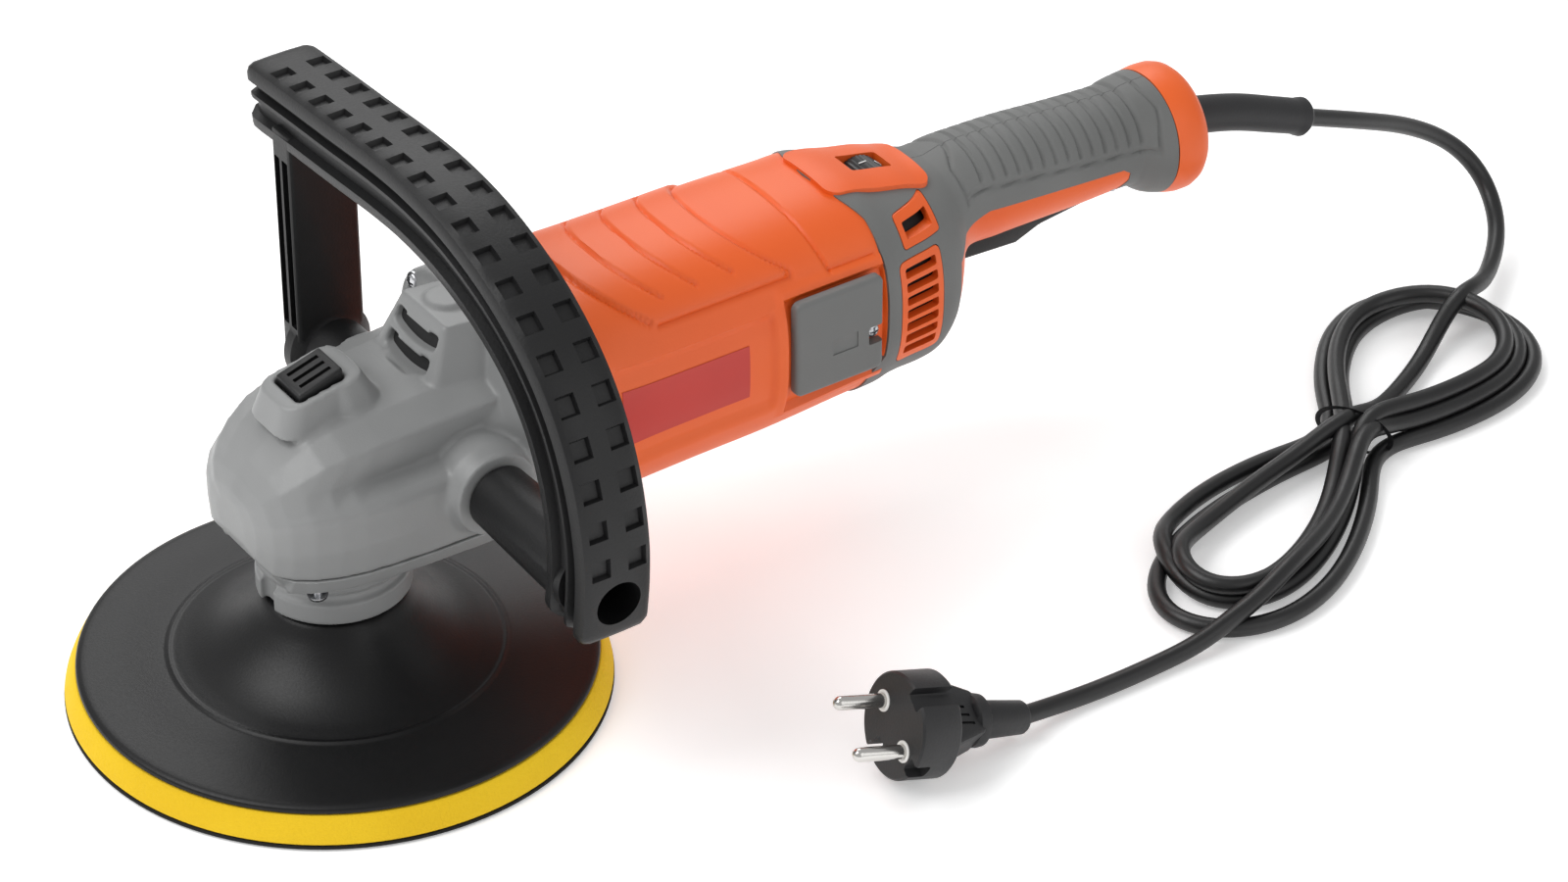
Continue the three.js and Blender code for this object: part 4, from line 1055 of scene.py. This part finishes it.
# The orange underside of the grip, seen from the side, in x and z.
UNDERSIDE = [(228, 60), (228.5, 94), (236, 99), (248, 102), (306, 96.8), (309.2, 94.5), (309.6, 91),
             (307, 87), (306, 60)]
UNDERSIDE_FIT = 0.985
SEAM = 0.08
SLOT_STEP = 5.05


def prism(outline, low, high):
    """An outline in x and z, extruded along Y."""
    bm = bmesh.new()
    face = bm.faces.new([bm.verts.new((x, low, z)) for x, z in outline])
    grown = bmesh.ops.extrude_face_region(bm, geom=[face])["geom"]
    bmesh.ops.translate(bm, vec=(0, high - low, 0),
                        verts=[g for g in grown if isinstance(g, bmesh.types.BMVert)])
    bmesh.ops.recalc_face_normals(bm, faces=bm.faces)
    return bm


for side, name in ((-1, "near"), (1, "far")):
    half = skin(shell_stations, 128, shell_place)
    bmesh.ops.bisect_plane(half, geom=half.verts[:] + half.edges[:] + half.faces[:], dist=0.0001,
                           plane_co=(0, SEAM * side, 0), plane_no=(0, side, 0), clear_inner=True)
    half = walled(half, SHELL_WALL)
    y_low, y_high = sorted((15 * side, 48 * side))
    windows = [
        block((198.2, y_low, 67.4), (217.6, y_high, 107.1), 2.4, 3),
        block((202.4, y_low, 109.6), (220.4, y_high, 119.4), 1.2),
        block((238.5, -9.6, 60), (311, 9.6, 95.5), 1),
        block((199.4, -6.2, 100), (217.6, 6.2, 140), 0.8),
    ]
    half = combined(half, windows)
    under = combined(half.copy(), [prism(UNDERSIDE, -60, 60)], "INTERSECT")
    bmesh.ops.scale(under, vec=(1, UNDERSIDE_FIT, 1), verts=under.verts)
    half = combined(half, [prism(UNDERSIDE, -60, 60)])
    piece(half, f"shell_{name}", "tool", grip_skin, [f"handle_shell_{name}"], crease=45)
    piece(under, f"grip_underside_{name}", "tool", orange_nylon)

    # Orange grille with seven slots, and the small framed window over it.
    patch = walled(skin(np.arange(196, 221, 1.0), 128, lambda x, t: on_body(x, t, 0.1)), 3)
    opening = block((198.5, y_low, 67.7), (217.3, y_high, 106.8), 2.2, 3)
    grille = combined(patch.copy(), [opening], "INTERSECT")
    slots = [block((200.9, y_low, 70.7 + SLOT_STEP * k), (214.9, y_high, 74.1 + SLOT_STEP * k), 0.7)
             for k in range(7)]
    grille = combined(grille, slots)
    piece(grille, f"grille_{name}", "tool", orange_nylon, [f"vent_grille_{name}"])
    frame_ring = combined(patch, [block((202.7, y_low, 109.9), (220.1, y_high, 119.1), 1)], "INTERSECT")
    frame_ring = combined(frame_ring, [block((205.2, y_low, 112.2), (217.6, y_high, 116.8), 0.5)])
    piece(frame_ring, f"window_frame_{name}", "tool", orange_nylon)

    # A black sheet behind them is painted shade that makes the slots and the window look deep.
    grille_shade_sheet = walled(skin(np.arange(195, 222.5, 1.5), 96, lambda x, t: on_body(x, t, -4)), 0.8)
    reach = sorted((11 * side, 48 * side))
    grille_shade_sheet = combined(grille_shade_sheet, [block((195.5, reach[0], 66), (221, reach[1], 121))], "INTERSECT")
    piece(grille_shade_sheet, f"grille_shade_{name}", "tool", slot_shade_nylon)

# ---- dial bezel and speed dial ----
# The bezel is a raised orange plate on the shoulder with a slot, moulded on its own and snapped in.
# The dial is a black toothed thumbwheel on its side that shows through it, with printed numbers.
BEZEL_LIFT = 1.5
plate = walled(skin(np.arange(182, 230, 1.0), 128, lambda x, t: on_body(x, t, BEZEL_LIFT)), 3.2)
bezel_block = block((184.5, -15.5, 108), (226.5, 15.5, 140))
rounded(bezel_block, [e for e in bezel_block.edges if abs(e.verts[0].co.z - e.verts[1].co.z) > 1], 5, 6)
bezel = combined(plate, [bezel_block], "INTERSECT")
bezel = combined(bezel, [block((200.3, -5.3, 100), (216.7, 5.3, 140), 0.8)])
piece(bezel, "bezel", "tool", orange_nylon, ["dial_bezel"], crease=45)

DIAL_X = 208.5
DIAL_Z = 116.6
DIAL_RADIUS = 9
TOOTH = 0.3
DIAL_HALF = 4.8
CORNERS = 72
NUMBER_SIZE = 4.2
NUMBER_STEP = math.radians(42)
INK = 0.12
outline = []
for k in range(CORNERS):
    turn = 2 * math.pi * k / CORNERS
    radius = DIAL_RADIUS if k % 2 else DIAL_RADIUS - TOOTH
    outline.append((DIAL_X + radius * math.cos(turn), DIAL_Z + radius * math.sin(turn)))
wheel = prism(outline, -DIAL_HALF, DIAL_HALF)
piece(wheel, "dial_wheel", "speed_dial", black_nylon, ["speed_dial"])
# Printing ink: flat white, crisp against the black.
mark_white = moulded("mark_white", "#e9e9e9", "#dcdcdc", 0.5, 2)
marks = bmesh.new()
for k in range(6):
    text = bpy.data.curves.new("number", "FONT")
    text.body = str(k + 1)
    text.size = NUMBER_SIZE
    text.align_x = "CENTER"
    text.align_y = "CENTER"
    text.extrude = INK
    text.resolution_u = 3
    holder = bpy.data.objects.new("number", text)
    scene.collection.objects.link(holder)
    number = bpy.data.meshes.new_from_object(
        holder.evaluated_get(bpy.context.evaluated_depsgraph_get()))
    bpy.data.objects.remove(holder)
    bpy.data.curves.remove(text)
    number.transform(
        Matrix.Translation((DIAL_X, 0, DIAL_Z)) @ Matrix.Rotation(NUMBER_STEP * k, 4, "Y")
        @ Matrix.Translation((0, 0, DIAL_RADIUS)) @ Matrix.Rotation(math.pi / 2, 4, "Z")
    )
    marks.from_mesh(number)
    bpy.data.meshes.remove(number)
piece(marks, "dial_numbers", "speed_dial", mark_white)

# ---- paddle lever ----
# Black nylon lever under the grip, moulded with rounded edges; it swings on a pin at its rear end.
LEVER = [(240, 78.5), (267, 77), (277, 80.8), (300, 83.5), (308.5, 85), (309, 90), (303, 91.5), (240, 89)]
LEVER_HALF = 8.9
lever = prism(LEVER, -LEVER_HALF, LEVER_HALF)
rounded(lever, lever.edges[:], 1.1, 3, clamped=True)
piece(lever, "lever_moulding", "paddle_lever", black_nylon, ["paddle_lever"])

# ---- end cap ----
# Orange nylon ring that closes the grip round the cord's sleeve, turned in at its rear edge.
# Round its section: x, height of the centre, half height, half width.
CAP_WALL = 1.6
CAP = [
    (326.7, 97, 22.3, 21.9), (329, 96.7, 22.9, 22.5), (332, 96.4, 23.3, 22.9), (336, 96.2, 23.2, 22.8),
    (338.6, 96.2, 22.3, 21.9), (340.3, 96.2, 20.8, 20.4), (341, 96.2, 18.6, 18.3), (341, 96.5, 13, 13),
    (340.6, 96.8, 7.4, 7.4), (334, 96.8, 7.4, 7.4),
]
cap = skin(
    list(range(len(CAP))), 96,
    lambda k, t: Vector((CAP[k][0], -CAP[k][3] * math.cos(t), CAP[k][1] + CAP[k][2] * math.sin(t))),
)
cap = walled(cap, CAP_WALL)
piece(cap, "cap_ring", "tool", orange_nylon, ["end_cap"], crease=45)

# ---- the works inside, and the parts whose solids are already right ----
# Ground steel shafts, cut gears, wound copper, pressed carbon and a potted board, all closed in by the
# castings and mouldings. Cut steel is dark with oil, enamelled wire a deep varnished copper, carbon
# dull and sooty, and the board's resin green and glossy.
gear_steel = moulded("oiled_steel", "#4b4c4f", "#3c3d40", 0.4, 1.5, Metallic=1.0)
windings = moulded("windings", "#a9622f", "#7e4620", 0.4, 1.2, depth=0.5, Metallic=0.8)
carbon = moulded("carbon", "#2f2f31", "#252527", 0.8, 0.8)
board = moulded("potted_board", "#23583a", "#1b4a30", 0.5, 3)
FINISHES = {
    "bright_steel": zinc, "gear_steel": gear_steel, "winding_copper": windings, "carbon": carbon,
    "circuit_board": board, "black_plastic": black_nylon, "cord_rubber": cord_rubber,
    "case_casting": cast_paint, "orange_plastic": orange_nylon, "grey_plastic": grey_abs,
    "grip_rubber": grip_skin, "handle_plastic": handle_nylon, "disc_plastic": disc_abs,
    "pad_foam": foam_cells, "hook_fabric": hook_cloth, "plated_pin": pin_metal,
}
for part in frame["record"]["subparts"]:
    shown = frame["nodes"][part["node"]]
    shown.data.materials.clear()
    shown.data.materials.append(FINISHES[part["material_slot"]])

# ---- floor and light ----
# A pale painted floor with a faint light of its own, which keeps it near white, and large soft lamps.
FLOOR_GLOW = 0.3
FLOOR_HALF = 6
FLOOR_DROP = 0.5 * MM
floor_paint = moulded("floor_paint", "#fcfcfc", "#f8f8f8", 0.9, 40, depth=0.0,
                      **{"Emission Color": (1, 1, 1, 1), "Emission Strength": FLOOR_GLOW})
floor = bmesh.new()
bmesh.ops.create_grid(floor, x_segments=1, y_segments=1, size=FLOOR_HALF)
floor_mesh = bpy.data.meshes.new("floor")
floor.to_mesh(floor_mesh)
floor.free()
floor_mesh.materials.append(floor_paint)
floor_object = bpy.data.objects.new("floor", floor_mesh)
floor_object.location.z = -FLOOR_DROP
scene.collection.objects.link(floor_object)

SKY = 0.52
world = bpy.data.worlds.new("studio")
world.use_nodes = True
backdrop = world.node_tree.nodes["Background"]
backdrop.inputs["Color"].default_value = (1, 1, 1, 1)
backdrop.inputs["Strength"].default_value = SKY
scene.world = world
scene.view_settings.view_transform = "Standard"
# Name, place and size in metres, and power in watts.
LAMPS = [
    ("key_lamp", (-1.0, 0.3, 1.6), 1.2, 20),
    ("fill_lamp", (0.6, -1.6, 0.9), 1.4, 5),
    ("back_lamp", (0.8, 1.3, 1.4), 1.2, 13),
]
AIM = Vector((0.15, 0, 0.06))
for name, place, size, power in LAMPS:
    lamp = bpy.data.lights.new(name, "AREA")
    lamp.size = size
    lamp.energy = power
    lamp_object = bpy.data.objects.new(name, lamp)
    lamp_object.location = place
    lamp_object.rotation_euler = (AIM - Vector(place)).to_track_quat("-Z", "Y").to_euler()
    scene.collection.objects.link(lamp_object)
